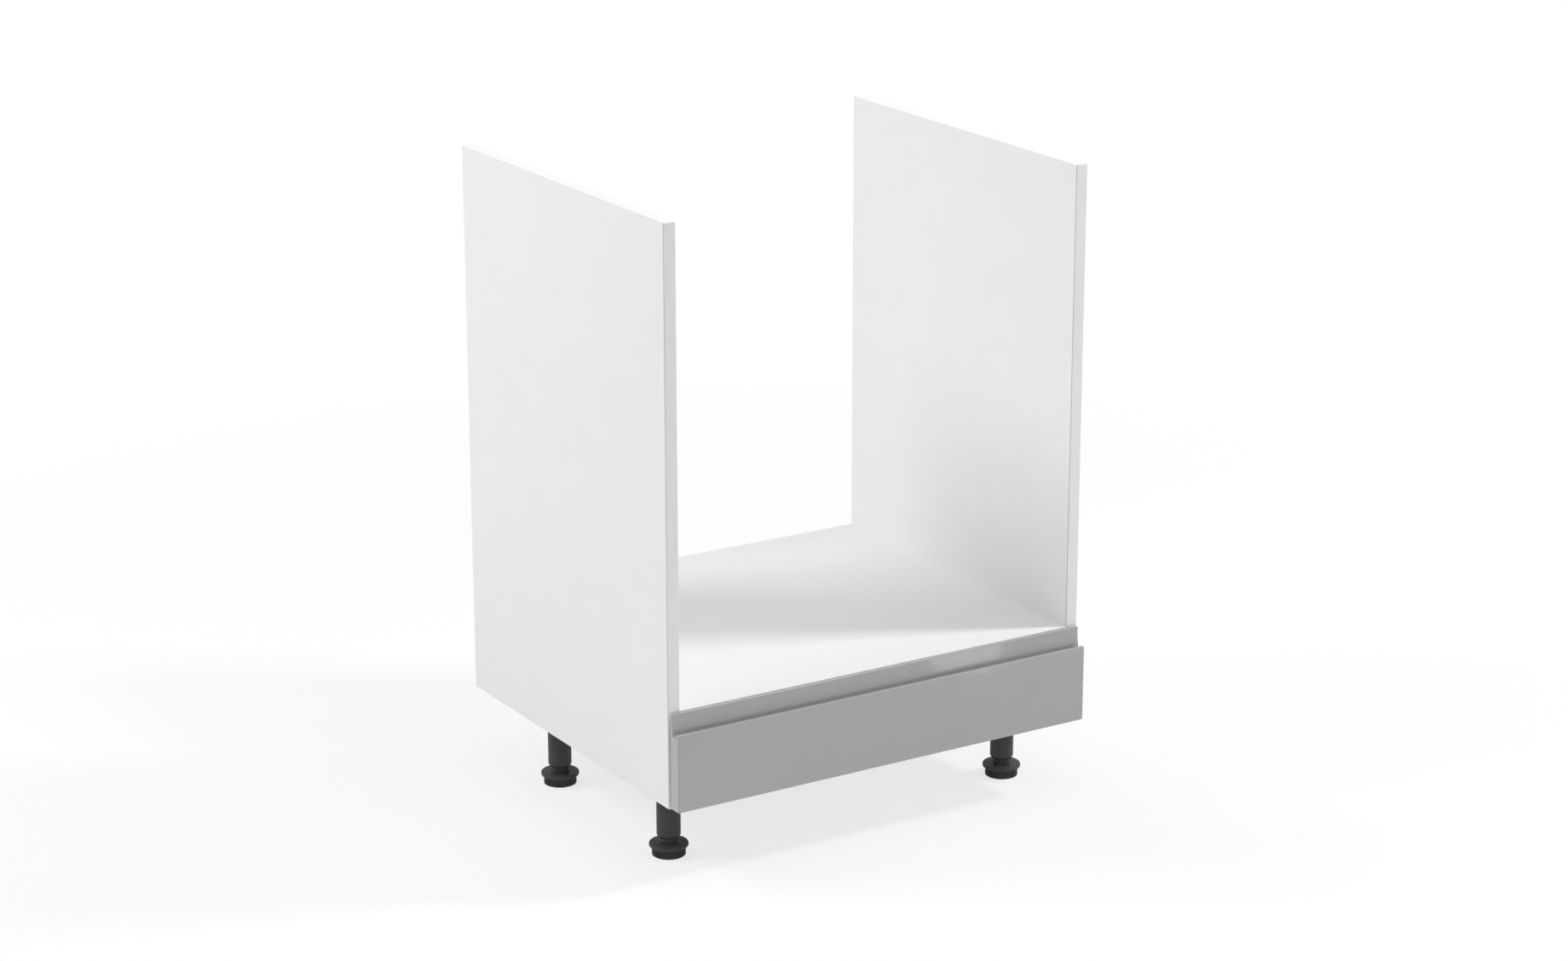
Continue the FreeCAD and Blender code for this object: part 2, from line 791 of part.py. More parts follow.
def make_roller():
    """Nylon roller with chamfered rims; zero is one of its ends."""
    bore = S.axle_diameter / 2 + S.running_clearance
    return turned("roller", [
        (bore, 0),
        (roller_radius - S.roller_chamfer, 0),
        (roller_radius, S.roller_chamfer),
        (roller_radius, S.roller_width - S.roller_chamfer),
        (roller_radius - S.roller_chamfer, S.roller_width),
        (bore, S.roller_width),
    ])


def rollers_and_axles():
    """Front rollers turn on the runners and rear rollers on the drawer rails."""
    pin, collar = S.axle_diameter / 2, S.axle_collar / 2
    roller_start = S.ledge_inset
    roller_end = S.ledge_inset + S.roller_width
    runner_axle = turned("runner_axle", [
        (0, 0),
        (pin, 0),
        (pin, S.steel),
        (collar, S.steel),
        (collar, roller_start - S.fit_clearance),
        (pin, roller_start - S.fit_clearance),
        (pin, roller_end + S.fit_clearance),
        (collar, roller_end + S.fit_clearance),
        (collar, roller_end + S.fit_clearance + S.axle_head),
        (0, roller_end + S.fit_clearance + S.axle_head),
    ])
    web = S.slide_width - S.steel
    rail_axle = turned("rail_axle", [
        (0, roller_start + S.fit_clearance),
        (pin, roller_start + S.fit_clearance),
        (pin, roller_end + S.fit_clearance),
        (collar, roller_end + S.fit_clearance),
        (collar, web),
        (pin, web),
        (pin, S.slide_width),
        (0, S.slide_width),
    ])
    roller = make_roller()
    runner_places, rail_places = [], []
    for name, side in SIDES.items():
        rotation = turn(inward(side))
        runner_places.append(((side * inner_half, front_axis_place, front_axis_height), rotation))
        rail_places.append(((side * inner_half, rear_axis_place, rear_axis_height), rotation))
        start = side * (inner_half - roller_start)
        for stem, along, height in (
            ("runner_roller", front_axis_place, front_axis_height),
            ("drawer_roller", rear_axis_place, rear_axis_height),
        ):
            copies(f"{stem}_{name}", roller, [((start, along, height), rotation)])
    copies("runner_axles", runner_axle, runner_places)
    copies("drawer_axles", rail_axle, rail_places)


def drawer_front():
    """Thick front whose top is scooped into a finger groove behind a thin lip, bored for bolts and dowels."""
    lip_back = front_face + S.lip_thickness
    groove_back = front_back - S.groove_wall
    groove_bend = (groove_back - lip_back) * GROOVE_BEND_SHARE
    section = extruded("drawer_front_section", "YZ_Plane", [
        (front_back, front_bottom),
        (front_face + S.front_round, front_bottom),
        Arc(front_face, front_bottom + S.front_round, S.front_round, CLOCKWISE),
        (front_face, lip_top - S.lip_round),
        Arc(front_face + S.lip_round, lip_top, S.lip_round, CLOCKWISE),
        (lip_back - S.lip_round, lip_top),
        Arc(lip_back, lip_top - S.lip_round, S.lip_round, CLOCKWISE),
        (lip_back, groove_floor),
        Arc(groove_back, groove_floor, groove_bend, ANTICLOCKWISE),
        Arc(front_back - S.top_lip, front_top, S.scoop_radius, ANTICLOCKWISE),
        (front_back, front_top),
    ], front_half * 2, -front_half)
    plan_outline = rounded_strip((-front_half, front_half), (front_face, front_back), S.front_round)
    plan = extruded("drawer_front_plan", "XY_Plane", plan_outline, front_top - front_bottom, front_bottom)
    blank = doc.addObject("Part::Common", "drawer_front_blank")
    blank.Base = section
    blank.Tool = plan
    bores = []
    for name, side in SIDES.items():
        for stem, diameter, depth, height in (
            ("bolt", bolt_thread_hole, bolt_thread_depth, drawer_bolt_height),
            ("dowel", dowel_hole, dowel_panel_depth, drawer_dowel_height),
        ):
            at = (side * drawer_side_middle, front_back, height)
            bores.append(rod(f"drawer_front_{stem}_{name}", diameter, depth, at, FRONT))
    node(cut("drawer_front", blank, bores), "drawer_front")


def drawer_side(label, side):
    """Side board of the drawer, grooved inside for the bottom and bored for its joints."""
    across = span(side * drawer_outer_half, side * drawer_inner_half)
    blank = box(f"{label}_blank", across, (front_back, drawer_rear), (drawer_side_bottom, drawer_side_top))
    groove = box(
        f"{label}_groove", span(side * drawer_inner_half, side * (drawer_inner_half + S.hardboard_groove)),
        (front_back, drawer_rear), (hardboard_under - S.fit_clearance, hardboard_top + S.fit_clearance),
    )
    middle = side * drawer_side_middle
    cam_at = (side * drawer_inner_half, front_back + S.cam_setback, drawer_bolt_height)
    tools = [
        groove,
        rod(f"{label}_bolt", bolt_shaft_hole, S.cam_setback, (middle, front_back, drawer_bolt_height), BACK),
        rod(f"{label}_cam", cam_hole, cam_hole_depth, cam_at, outward(side)),
        rod(f"{label}_dowel", dowel_hole, dowel_board_depth, (middle, front_back, drawer_dowel_height), BACK),
    ]
    for index, height in enumerate(back_screw_heights, start=1):
        at = (side * drawer_outer_half, back_middle, height)
        stem, head_depth = f"{label}_back_screw_{index}", S.panel_screw_head_height
        tools.append(rod(f"{stem}_shank", panel_screw_hole, S.board, at, inward(side)))
        tools.append(rod(f"{stem}_head", panel_screw_head_hole, head_depth, at, inward(side)))
    depth = screw_depth - S.steel
    for index, along in enumerate(runner_screw_places, start=1):
        at = (side * rail_screw_half, along, drawer_side_bottom)
        tools.append(rod(f"{label}_rail_screw_{index}", screw_hole, depth, at, UP))
    node(cut(label, blank, tools), label)


def drawer_back_and_bottom():
    """Back board between the sides, standing on the thin bottom that slides in their grooves."""
    blank = box(
        "drawer_back_blank", (-drawer_inner_half, drawer_inner_half), (drawer_rear - S.board, drawer_rear),
        (hardboard_top, drawer_side_top),
    )
    bores = []
    for name, side in SIDES.items():
        for index, height in enumerate(back_screw_heights, start=1):
            at = (side * drawer_inner_half, back_middle, height)
            stem = f"drawer_back_{name}_{index}"
            bores.append(rod(stem, panel_screw_hole, panel_screw_depth, at, inward(side)))
    for index, x in enumerate(back_screw_places, start=1):
        at = (x, back_middle, hardboard_top)
        bores.append(rod(f"drawer_back_bottom_{index}", screw_hole, screw_depth - S.hardboard, at, UP))
    node(cut("drawer_back", blank, bores), "drawer_back")
    reach = drawer_inner_half + S.hardboard_groove - S.fit_clearance
    sheet_blank = box(
        "drawer_bottom_blank", (-reach, reach), (front_back, drawer_rear), (hardboard_under, hardboard_top),
    )
    bores = [
        rod(f"drawer_bottom_bore_{index}", screw_hole, S.hardboard, (x, back_middle, hardboard_under), UP)
        for index, x in enumerate(back_screw_places, start=1)
    ]
    node(cut("drawer_bottom", sheet_blank, bores), "drawer_bottom")


def drawer_fasteners(cam_lock, cam_bolt, dowel, panel_screw, wood_screw):
    cams, bolts, dowels, back_screws, rail_screws = [], [], [], [], []
    for side in SIDES.values():
        middle = side * drawer_side_middle
        cam_at = (side * drawer_inner_half, front_back + S.cam_setback, drawer_bolt_height)
        cams.append((cam_at, turn(outward(side), BACK)))
        bolts.append(((middle, front_back, drawer_bolt_height), turn(BACK)))
        dowels.append(((middle, front_back, drawer_dowel_height), turn(BACK)))
        for height in back_screw_heights:
            back_screws.append(((side * drawer_outer_half, back_middle, height), turn(inward(side))))
        for along in runner_screw_places:
            rail_screws.append(((side * rail_screw_half, along, drawer_side_bottom - S.steel), turn(UP)))
    copies("drawer_cam_locks", cam_lock, cams)
    copies("drawer_cam_bolts", cam_bolt, bolts)
    copies("drawer_dowels", dowel, dowels)
    copies("drawer_back_screws", panel_screw, back_screws)
    copies("drawer_rail_screws", wood_screw, rail_screws)
    bottom_places = [((x, back_middle, hardboard_under), turn(UP)) for x in back_screw_places]
    copies("drawer_bottom_screws", wood_screw, bottom_places)


def front_bumpers():
    """Soft discs behind the front that meet the panels' front edges."""
    thickness = S.front_gap - S.fit_clearance
    radius = S.bumper_diameter / 2
    bumper = turned("bumper", [
        (0, 0),
        (radius, 0),
        (radius, thickness / 2),
        (radius - thickness / 2, thickness),
        (0, thickness),
    ])
    panel_middle, height = half_width - S.board / 2, lip_top - S.bumper_drop
    places = [((side * panel_middle, front_back, height), turn(BACK)) for side in SIDES.values()]
    copies("front_bumpers", bumper, places)


def make_leg_plate():
    """Square plate screwed under the bottom panel, with a round socket below it for the tube."""
    body = doc.addObject("PartDesign::Body", "leg_plate")
    far, corner = S.plate_size / 2, S.plate_corner
    near = far - corner
    plate_sketch = add_sketch(body, "leg_plate_outline", "XY_Plane")
    draw_outline(plate_sketch, [
        (near, -far),
        Arc(far, -near, corner, ANTICLOCKWISE),
        (far, near),
        Arc(near, far, corner, ANTICLOCKWISE),
        (-near, far),
        Arc(-far, near, corner, ANTICLOCKWISE),
        (-far, -near),
        Arc(-near, -far, corner, ANTICLOCKWISE),
    ])
    plate = body.newObject("PartDesign::Pad", "leg_plate_pad")
    plate.Profile = plate_sketch
    plate.Reversed = True
    bind(plate, "Length", S.plate_thickness)
    ring_sketch = add_sketch(body, "leg_plate_ring", "XY_Plane")
    bind(ring_sketch, "AttachmentOffset.Base.z", -S.plate_thickness)
    bore = S.tube_diameter + close_fit
    draw_circle(ring_sketch, 0, 0, bore)
    draw_circle(ring_sketch, 0, 0, bore + S.socket_wall * 2)
    ring = body.newObject("PartDesign::Pad", "leg_plate_socket")
    ring.Profile = ring_sketch
    ring.Reversed = True
    bind(ring, "Length", S.socket_depth)
    hole_sketch = add_sketch(body, "leg_plate_holes", "XY_Plane")
    for x, y in PLATE_HOLES:
        draw_circle(hole_sketch, x, y, screw_hole)
    holes = body.newObject("PartDesign::Pocket", "leg_plate_pocket")
    holes.Profile = hole_sketch
    bind(holes, "Length", S.plate_thickness)
    body.Tip = holes
    return body


def make_leg_tube():
    """Plain tube from the plate down, chamfered at its lower end; zero is the floor."""
    outer = S.tube_diameter / 2
    bore = outer - S.tube_wall
    top = S.leg_height - S.plate_thickness
    return turned("leg_tube", [
        (bore, S.tube_end),
        (outer - S.tube_chamfer_width, S.tube_end),
        (outer, S.tube_end + S.tube_chamfer_height),
        (outer, top),
        (bore, top),
    ])


def make_foot_spindle():
    """Hollow screw with the flange it is turned by and the pivot that stands in the foot's base."""
    neck = S.tube_diameter / 2 - S.tube_wall - S.spindle_clearance
    hollow = neck - S.spindle_wall
    pivot = S.pivot_diameter / 2 - S.running_clearance
    pivot_end = S.pad_height - S.pivot_depth + S.pivot_gap
    flange = S.flange_diameter / 2
    flange_under = S.pad_height + S.pivot_gap
    flange_top = flange_under + S.flange_thickness
    top = flange_top + S.spindle_length
    return turned("foot_spindle", [
        (0, pivot_end),
        (pivot, pivot_end),
        (pivot, flange_under),
        (flange - S.flange_chamfer, flange_under),
        (flange, flange_under + S.flange_chamfer),
        (flange, flange_top - S.flange_chamfer),
        (flange - S.flange_chamfer, flange_top),
        (neck, flange_top),
        (neck, top),
        (hollow, top),
        (hollow, flange_top),
        (0, flange_top),
    ])


def make_foot_base():
    """Ribbed base: square prisms turned about one axis, so that their corners make the ribs."""
    prisms = []
    step = 360 / SQUARE_SIDES / RIB_SQUARES
    for index in range(RIB_SQUARES):
        prism = doc.addObject("Part::Prism", f"foot_rib_{index}")
        prism.Polygon = SQUARE_SIDES
        bind(prism, "Circumradius", S.pad_diameter / 2)
        bind(prism, "Height", S.pad_height)
        prism.Placement = FreeCAD.Placement(Vector(), FreeCAD.Rotation(UP, step * index))
        prisms.append(prism)
    pivot_bore = rod("foot_pivot_bore", S.pivot_diameter, S.pivot_depth, (0, 0, S.pad_height), DOWN)
    return cut("foot_base", joined("foot_ribs", prisms), [pivot_bore])


def legs(wood_screw):
    plate, tube, spindle, base = make_leg_plate(), make_leg_tube(), make_foot_spindle(), make_foot_base()
    screws = []
    for corner, (x, y) in LEGS.items():
        copies(f"leg_plate_{corner}", plate, [((x, y, carcass_bottom), turn(UP))])
        copies(f"leg_tube_{corner}", tube, [((x, y, 0), turn(UP))])
        copies(f"foot_spindle_{corner}", spindle, [((x, y, 0), turn(UP))])
        copies(f"foot_base_{corner}", base, [((x, y, 0), turn(UP))])
        for dx, dy in PLATE_HOLES:
            screws.append(((x + dx, y + dy, carcass_bottom - S.plate_thickness), turn(UP)))
    copies("leg_screws", wood_screw, screws)


def check_and_write():
    """Stops on a failed object or a bad shape, and otherwise writes one file for each sub-part."""
    doc.recompute()
    for thing in doc.Objects:
        if "Invalid" in thing.State or "Error" in thing.State:
            raise RuntimeError(f"{thing.Name} failed: {thing.State}")
    shapes = {thing.Label: Part.getShape(thing) for thing in nodes}
    for label, shape in shapes.items():
        if shape.isNull() or not shape.isValid() or not shape.Solids:
            raise RuntimeError(f"{label} has no valid solid")
    os.makedirs("parts", exist_ok=True)
    for label, shape in shapes.items():
        shape.exportStep(f"parts/{label}.step")
        print(f"{label}: {len(shape.Solids)} solids, {shape.Volume / 1000:.2f} cm3")


def main():
    for name, side in SIDES.items():
        side_panel(f"side_panel_{name}", side)
    oven_shelf()
    bottom_panel()
    rear_rail()
    edge_bands()
    cam_lock, cam_bolt, dowel = make_cam_lock(), make_cam_bolt(), make_dowel()
    panel_screw, wood_screw, flat_screw = make_panel_screw(), make_wood_screw(), make_flat_screw()
    carcass_fasteners(cam_lock, cam_bolt, dowel, panel_screw)
    runner_screws = []
    for name, side in SIDES.items():
        runner(f"runner_{name}", side)
        drawer_rail(f"drawer_rail_{name}", side)
        drawer_side(f"drawer_side_{name}", side)
        for along in runner_screw_places:
            at = (side * (inner_half - S.steel), along, runner_screw_height)
            runner_screws.append((at, turn(outward(side))))
    copies("runner_screws", flat_screw, runner_screws)
    rollers_and_axles()
    drawer_front()
    drawer_back_and_bottom()
    drawer_fasteners(cam_lock, cam_bolt, dowel, panel_screw, wood_screw)
    front_bumpers()
    legs(wood_screw)
    check_and_write()


main()
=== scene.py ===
import json
import math

import bmesh
import bpy
from mathutils import Matrix, Vector


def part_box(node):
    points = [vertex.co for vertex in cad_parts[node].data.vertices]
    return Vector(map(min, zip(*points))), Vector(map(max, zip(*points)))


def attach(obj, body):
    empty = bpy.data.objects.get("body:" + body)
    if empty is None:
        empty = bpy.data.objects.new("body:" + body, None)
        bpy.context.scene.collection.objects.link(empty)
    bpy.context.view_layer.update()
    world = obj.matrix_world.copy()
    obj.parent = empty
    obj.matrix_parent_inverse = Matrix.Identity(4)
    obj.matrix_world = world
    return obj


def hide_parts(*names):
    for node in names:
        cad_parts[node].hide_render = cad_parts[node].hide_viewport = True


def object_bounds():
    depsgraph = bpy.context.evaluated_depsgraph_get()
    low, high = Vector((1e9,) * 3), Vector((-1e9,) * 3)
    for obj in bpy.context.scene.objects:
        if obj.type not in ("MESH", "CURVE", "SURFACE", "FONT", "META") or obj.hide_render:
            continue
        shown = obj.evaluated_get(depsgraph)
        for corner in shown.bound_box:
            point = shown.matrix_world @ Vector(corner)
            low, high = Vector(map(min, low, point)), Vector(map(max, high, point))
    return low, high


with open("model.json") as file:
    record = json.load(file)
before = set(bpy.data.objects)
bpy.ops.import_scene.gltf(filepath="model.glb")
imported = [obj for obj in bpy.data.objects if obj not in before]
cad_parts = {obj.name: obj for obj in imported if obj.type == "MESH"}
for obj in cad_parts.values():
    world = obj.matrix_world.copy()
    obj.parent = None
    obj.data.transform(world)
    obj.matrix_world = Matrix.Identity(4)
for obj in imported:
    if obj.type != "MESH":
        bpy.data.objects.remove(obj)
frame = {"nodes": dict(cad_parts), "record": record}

# Oven base cabinet: finishes for the boards and fittings, and closer shapes for what shows most.
# Metres; +Z up, the drawer faces -Y, origin on the floor under the middle of the cabinet.
cad_low, cad_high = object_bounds()
MM = 0.001
CORNERS = ("front_left", "front_right", "rear_left", "rear_right")

# Drawer front: section behind its face
LIP_DROP = 22 * MM
LIP_THICKNESS = 5.2 * MM
LIP_ROUND = 1.5 * MM
GROOVE_DEPTH = 3.9 * MM
GROOVE_WALL = 5.8 * MM
GROOVE_BEND_SHARE = 0.53
SCOOP_RADIUS = 120 * MM
TOP_LIP = 3.5 * MM
TOP_LIP_ROUND = 0.7 * MM
FRONT_ROUND = 1.0 * MM
END_ROUND = 0.8 * MM
END_ROUND_STEPS = 3
END_EDGE_ANGLE = math.radians(50)
LARGE_FACE_WEIGHT = 80
ARC_STEPS = 12
TOP_LIP_STEPS = 4

# Legs
LEG_SEGMENTS = 96
TUBE_WALL = 2.5 * MM
TUBE_CHAMFER_WIDTH = 2 * MM
TUBE_CHAMFER_HEIGHT = 3.5 * MM
MOULD_ROUND = 0.5 * MM
FLANGE_THICKNESS = 4.5 * MM
FLANGE_ROUND = 1.4 * MM
FLANGE_GAP = 0.2 * MM
PIVOT_BORE = 10 * MM
PIVOT_CLEARANCE = 0.05 * MM
PIVOT_DEPTH = 7 * MM
SPINDLE_CLEARANCE = 0.3 * MM
SPINDLE_WALL = 4 * MM
SPINDLE_PITCH = 4 * MM
SPINDLE_THREAD_DEPTH = 0.9 * MM
SPINDLE_PITCH_STEPS = 12
RIB_COUNT = 40
RIB_SIDES = 10
RIB_WIDTH = 1.9 * MM
RIB_STAND = 1.4 * MM

# Threads: the share of a pitch for which the crest, and the root, is level
THREAD_FLAT_SHARE = 0.2

# Turned outlines: the steps of a round, and the share of a side that one round may take
ROUND_STEPS = 5
ROUND_SHARE = 0.45

# Meshes: points this close are one, and a wider angle between faces stays a sharp edge
WELD_DISTANCE = 0.001 * MM
SHARP_ANGLE = math.radians(40)

# Screws: what the solids in the frame don't give
SCREW_SEGMENTS = 24
SCREW_PITCH = 1.8 * MM
SCREW_PITCH_STEPS = 5
SCREW_THREAD_DEPTH = 0.5 * MM
SCREW_HEAD_ROUND = 0.7 * MM
SCREW_TURN_SEED = 7
RECESS_DEPTH = 1.1 * MM
RECESS_ARM_WIDTH = 0.95 * MM
RECESS_LENGTH_SHARE = 0.56
RECESS_TAPER = 0.72

# Camera, from the photograph's perspective
CAMERA_PLACE = Vector((-2.373, -3.820, 1.796))
CAMERA_YAW = math.radians(31.98)
CAMERA_PITCH = math.radians(17.24)
CAMERA_LENS = 85.3

# Light: a level is what a white face turned to the lamp would show, and azimuth 0 is in front
LAMP_DISTANCE = 4.0
LAMPS = {
    "key_right_front": {"azimuth": 63, "elevation": 39, "side": 0.5, "level": 0.53},
    "fill_left_rear": {"azimuth": -116, "elevation": 39.5, "side": 1.25, "level": 0.43},
    "overhead": {"azimuth": 20, "elevation": 80, "side": 2.4, "level": 0.185},
}
AMBIENT_LEVEL = 0.41
# Three strip lights side by side on the floor in front, which the lacquer mirrors.
# The middle one crosses a point, turned from straight ahead, and each ends at two depths.
STRIP_CROSSING = Vector((0.838, -1.34, 0.002))
STRIP_TURN = math.radians(31.5)
STRIP_WIDTH = 0.035
STRIP_LEVEL = 0.0009
STRIP_FAR_END = -1.65
STRIP_NEAR_ENDS = (-0.71, -0.69, -0.71)
WHITE = (1, 1, 1, 1)
FLOOR_HALF = 14.0
FLOOR_PAINT = (0.9, 0.9, 0.9, 1)
FLOOR_ROUGHNESS = 0.9
FLOOR_WHITE_SHARE = 0.72
SHADOW_REACH = (0.7, 2.2)

# Finishes: paint of each slot in the record, and where a finish changes on its board
PAINT = {entry["slot"]: (*entry["base_color"], 1.0) for entry in frame["record"]["materials"]}
CHIP_COLOURS = ((0.36, 0.24, 0.13, 1), (0.66, 0.51, 0.33, 1))
FIBRE_COLOURS = ((0.16, 0.085, 0.04, 1), (0.30, 0.18, 0.09, 1))
TURNED_LINES = (1, 1, 8)
EDGE_TOLERANCE = 0.02 * MM
BAND_SEAM = 0.3 * MM

# Axes, and the sockets that Blender tells apart by number alone
X, Y, Z = 0, 1, 2
MIX_FACTOR, MIX_LOW_COLOUR, MIX_HIGH_COLOUR, MIX_COLOUR = 0, 6, 7, 2
RANDOM_HIGH_NUMBER, RANDOM_NUMBER = 3, 1


def shade(colour, factor):
    return (*(channel * factor for channel in colour[:3]), 1.0)


class Wire:
    """An output in a node tree: arithmetic on it adds Math nodes, and add() any other node."""

    def __init__(self, tree, socket):
        self.tree = tree
        self.socket = socket

    def add(self, kind, settings, inputs, output=0):
        """Adds a node of a type, with its settings first, then the values or links of its sockets."""
        node = self.tree.nodes.new(kind)
        for name, value in settings.items():
            setattr(node, name, value)
        for name, value in inputs.items():
            if isinstance(value, Wire):
                self.tree.links.new(node.inputs[name], value.socket)
            else:
                node.inputs[name].default_value = value
        return Wire(self.tree, node.outputs[output])

    def math(self, operation, first, second):
        return self.add("ShaderNodeMath", {"operation": operation}, {0: first, 1: second})

    def __add__(self, other):
        return self.math("ADD", self, other)

    __radd__ = __add__

    def __sub__(self, other):
        return self.math("SUBTRACT", self, other)

    def __rsub__(self, other):
        return self.math("SUBTRACT", other, self)

    def __mul__(self, other):
        return self.math("MULTIPLY", self, other)

    __rmul__ = __mul__

    def __abs__(self):
        return self.add("ShaderNodeMath", {"operation": "ABSOLUTE"}, {0: self})

    def above(self, limit):
        return self.math("GREATER_THAN", self, limit)

    def below(self, limit):
        return self.math("LESS_THAN", self, limit)

    def either(self, other):
        return self.math("MAXIMUM", self, other)

    def ramp(self, low, high):
        """From 0 to 1 while this goes from low to high, with soft ends."""
        ends = {"Value": self, "From Min": low, "From Max": high}
        return self.add("ShaderNodeMapRange", {"interpolation_type": "SMOOTHSTEP"}, ends)

    def tint(self, low, high):
        """Colour that goes from low to high while this goes from 0 to 1."""
        inputs = {MIX_FACTOR: self, MIX_LOW_COLOUR: low, MIX_HIGH_COLOUR: high}
        return self.add("ShaderNodeMix", {"data_type": "RGBA"}, inputs, MIX_COLOUR)

    def shades(self, colour, darkest, lightest):
        """One colour between two of its shades while this goes from 0 to 1."""
        return self.tint(shade(colour, darkest), shade(colour, lightest))


class Finish:
    """A material whose patterns follow the object's own coordinates, in metres."""

    def __init__(self, name, constants):
        self.material = bpy.data.materials.new(name)
        self.material.use_nodes = True
        self.tree = self.material.node_tree
        self.shader = self.tree.nodes["Principled BSDF"]
        for socket, value in constants.items():
            self.shader.inputs[socket].default_value = value
        coordinates = self.tree.nodes.new("ShaderNodeTexCoord")
        self.place = Wire(self.tree, coordinates.outputs["Object"])

    def feed(self, socket, wire):
        self.tree.links.new(self.shader.inputs[socket], wire.socket)

    def axis(self, index):
        return self.place.add("ShaderNodeSeparateXYZ", {}, {"Vector": self.place}, index)

    def grains(self, grain, stretch):
        """Place counted in grains, which are drawn out along each axis by its stretch."""
        scale = tuple(1 / (grain * factor) for factor in stretch)
        return self.place.add("ShaderNodeMapping", {}, {"Vector": self.place, "Scale": scale})

    def noise(self, grain, detail=2.0, stretch=(1, 1, 1)):
        """Noise from 0 to 1 with features of about one grain."""
        at = self.grains(grain, stretch)
        return at.add("ShaderNodeTexNoise", {}, {"Vector": at, "Scale": 1.0, "Detail": detail})

    def cells(self, grain, output, stretch):
        """Colour of the cells of about one grain, or the distance from their middles."""
        at = self.grains(grain, stretch)
        return at.add("ShaderNodeTexVoronoi", {}, {"Vector": at, "Scale": 1.0}, output)

    def relief(self, height, depth):
        """Bump of a field from 0 to 1 over a depth."""
        inputs = {"Strength": 1.0, "Distance": depth, "Height": height}
        self.feed("Normal", height.add("ShaderNodeBump", {}, inputs))


def white_laminate(name, raw_rear):
    """Satin melamine with a fine pearl, over chipboard that shows at the edges without a band."""
    finish = Finish(name, {"Specular IOR Level": 0.45})
    foil = finish.noise(60 * MM).shades(PAINT["white_board"], 0.985, 1.01)
    pearl = finish.noise(0.7 * MM, detail=1.0)
    roughness = 0.36 + 0.08 * finish.noise(25 * MM) + 0.06 * pearl
    inner_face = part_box("oven_shelf")[1].x
    side_low, side_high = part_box("side_panel_right")
    under_side = finish.axis(Z).below(side_low.z + EDGE_TOLERANCE)
    raw = under_side * abs(finish.axis(X)).above(inner_face + EDGE_TOLERANCE)
    if raw_rear:
        raw = raw.either(finish.axis(Y).above(side_high.y - EDGE_TOLERANCE))
    chips = finish.cells(2.2 * MM, "Color", (1.6, 1.6, 0.7))
    chip = chips.add("ShaderNodeSeparateColor", {}, {"Color": chips})
    finish.feed("Base Color", raw.tint(foil, chip.tint(*CHIP_COLOURS)))
    finish.feed("Roughness", roughness + 0.45 * raw)
    finish.relief(pearl * (1 - raw) + 5 * raw * chip, 0.012 * MM)
    return finish.material


def white_edge_band():
    """Satin plastic strip in a darker white as painted shade, with a dark glue line where it meets the
    board, painted darker still as the shade of its arrises.
    """
    finish = Finish("white_edge_band", {"Specular IOR Level": 0.35})
    # Painted shade: the record gives the band a darker white than the board's, standing in for the shade
    # on the boards' edges.
    white = PAINT["white_edge_band"]
    streak = finish.noise(0.5 * MM, stretch=(1, 1, 60))
    low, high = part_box("front_edge_band_right")
    from_middle = abs(finish.axis(X))
    inner = abs(from_middle - low.x).below(BAND_SEAM)
    outer = abs(from_middle - high.x).below(BAND_SEAM)
    depth = finish.axis(Y)
    glue_and_shade_depth = depth.above(high.y - 2 * BAND_SEAM) * depth.below(high.y + EDGE_TOLERANCE)
    face = finish.noise(40 * MM).shades(white, 0.985, 1.01)
    # Painted shade: at the arrises next to the board the band is darkened to 0.3 of its white, a glue
    # line painted darker to stand in for the shade of the arris.
    finish.feed("Base Color", (inner.either(outer) * glue_and_shade_depth).tint(face, shade(white, 0.3)))
    finish.feed("Roughness", 0.34 + 0.1 * streak)
    finish.relief(streak, 0.006 * MM)
    return finish.material


def grey_gloss_lacquer():
    """Polished grey lacquer with a faint ripple and hairline polish marks, and white foil on its back."""
    finish = Finish("grey_gloss_lacquer", {
        "Specular IOR Level": 0.5,
        "Coat Roughness": 0.03,
        "Coat IOR": 1.5,
    })
    back = finish.axis(Y).above(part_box("drawer_front")[1].y - EDGE_TOLERANCE)
    lacquer = finish.noise(80 * MM).shades(PAINT["grey_gloss_front"], 0.985, 1.015)
    finish.feed("Base Color", back.tint(lacquer, PAINT["white_board"]))
    polish = finish.noise(0.4 * MM, stretch=(30, 1, 1))
    finish.feed("Roughness", 0.07 + 0.04 * polish + 0.03 * finish.noise(35 * MM) + 0.3 * back)
    finish.feed("Coat Weight", (0.75 + 0.25 * finish.noise(20 * MM)) * (1 - back))
    finish.relief(finish.noise(6 * MM, detail=1.0), 0.01 * MM)
    return finish.material


def white_hardboard():
    """Thin sheet, lacquered white above and bare brown fibre below."""
    finish = Finish("white_hardboard", {"Specular IOR Level": 0.4})
    bare = 1 - finish.axis(Z).above(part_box("drawer_bottom")[1].z - EDGE_TOLERANCE)
    fibre = finish.noise(1.2 * MM, detail=4.0, stretch=(1, 2.5, 1))
    lacquer = finish.noise(50 * MM).shades(PAINT["white_hardboard"], 0.97, 1.0)
    finish.feed("Base Color", bare.tint(lacquer, fibre.tint(*FIBRE_COLOURS)))
    finish.feed("Roughness", 0.4 + 0.1 * fibre + 0.3 * bare)
    finish.relief(fibre * (0.25 + 0.75 * bare), 0.05 * MM)
    return finish.material


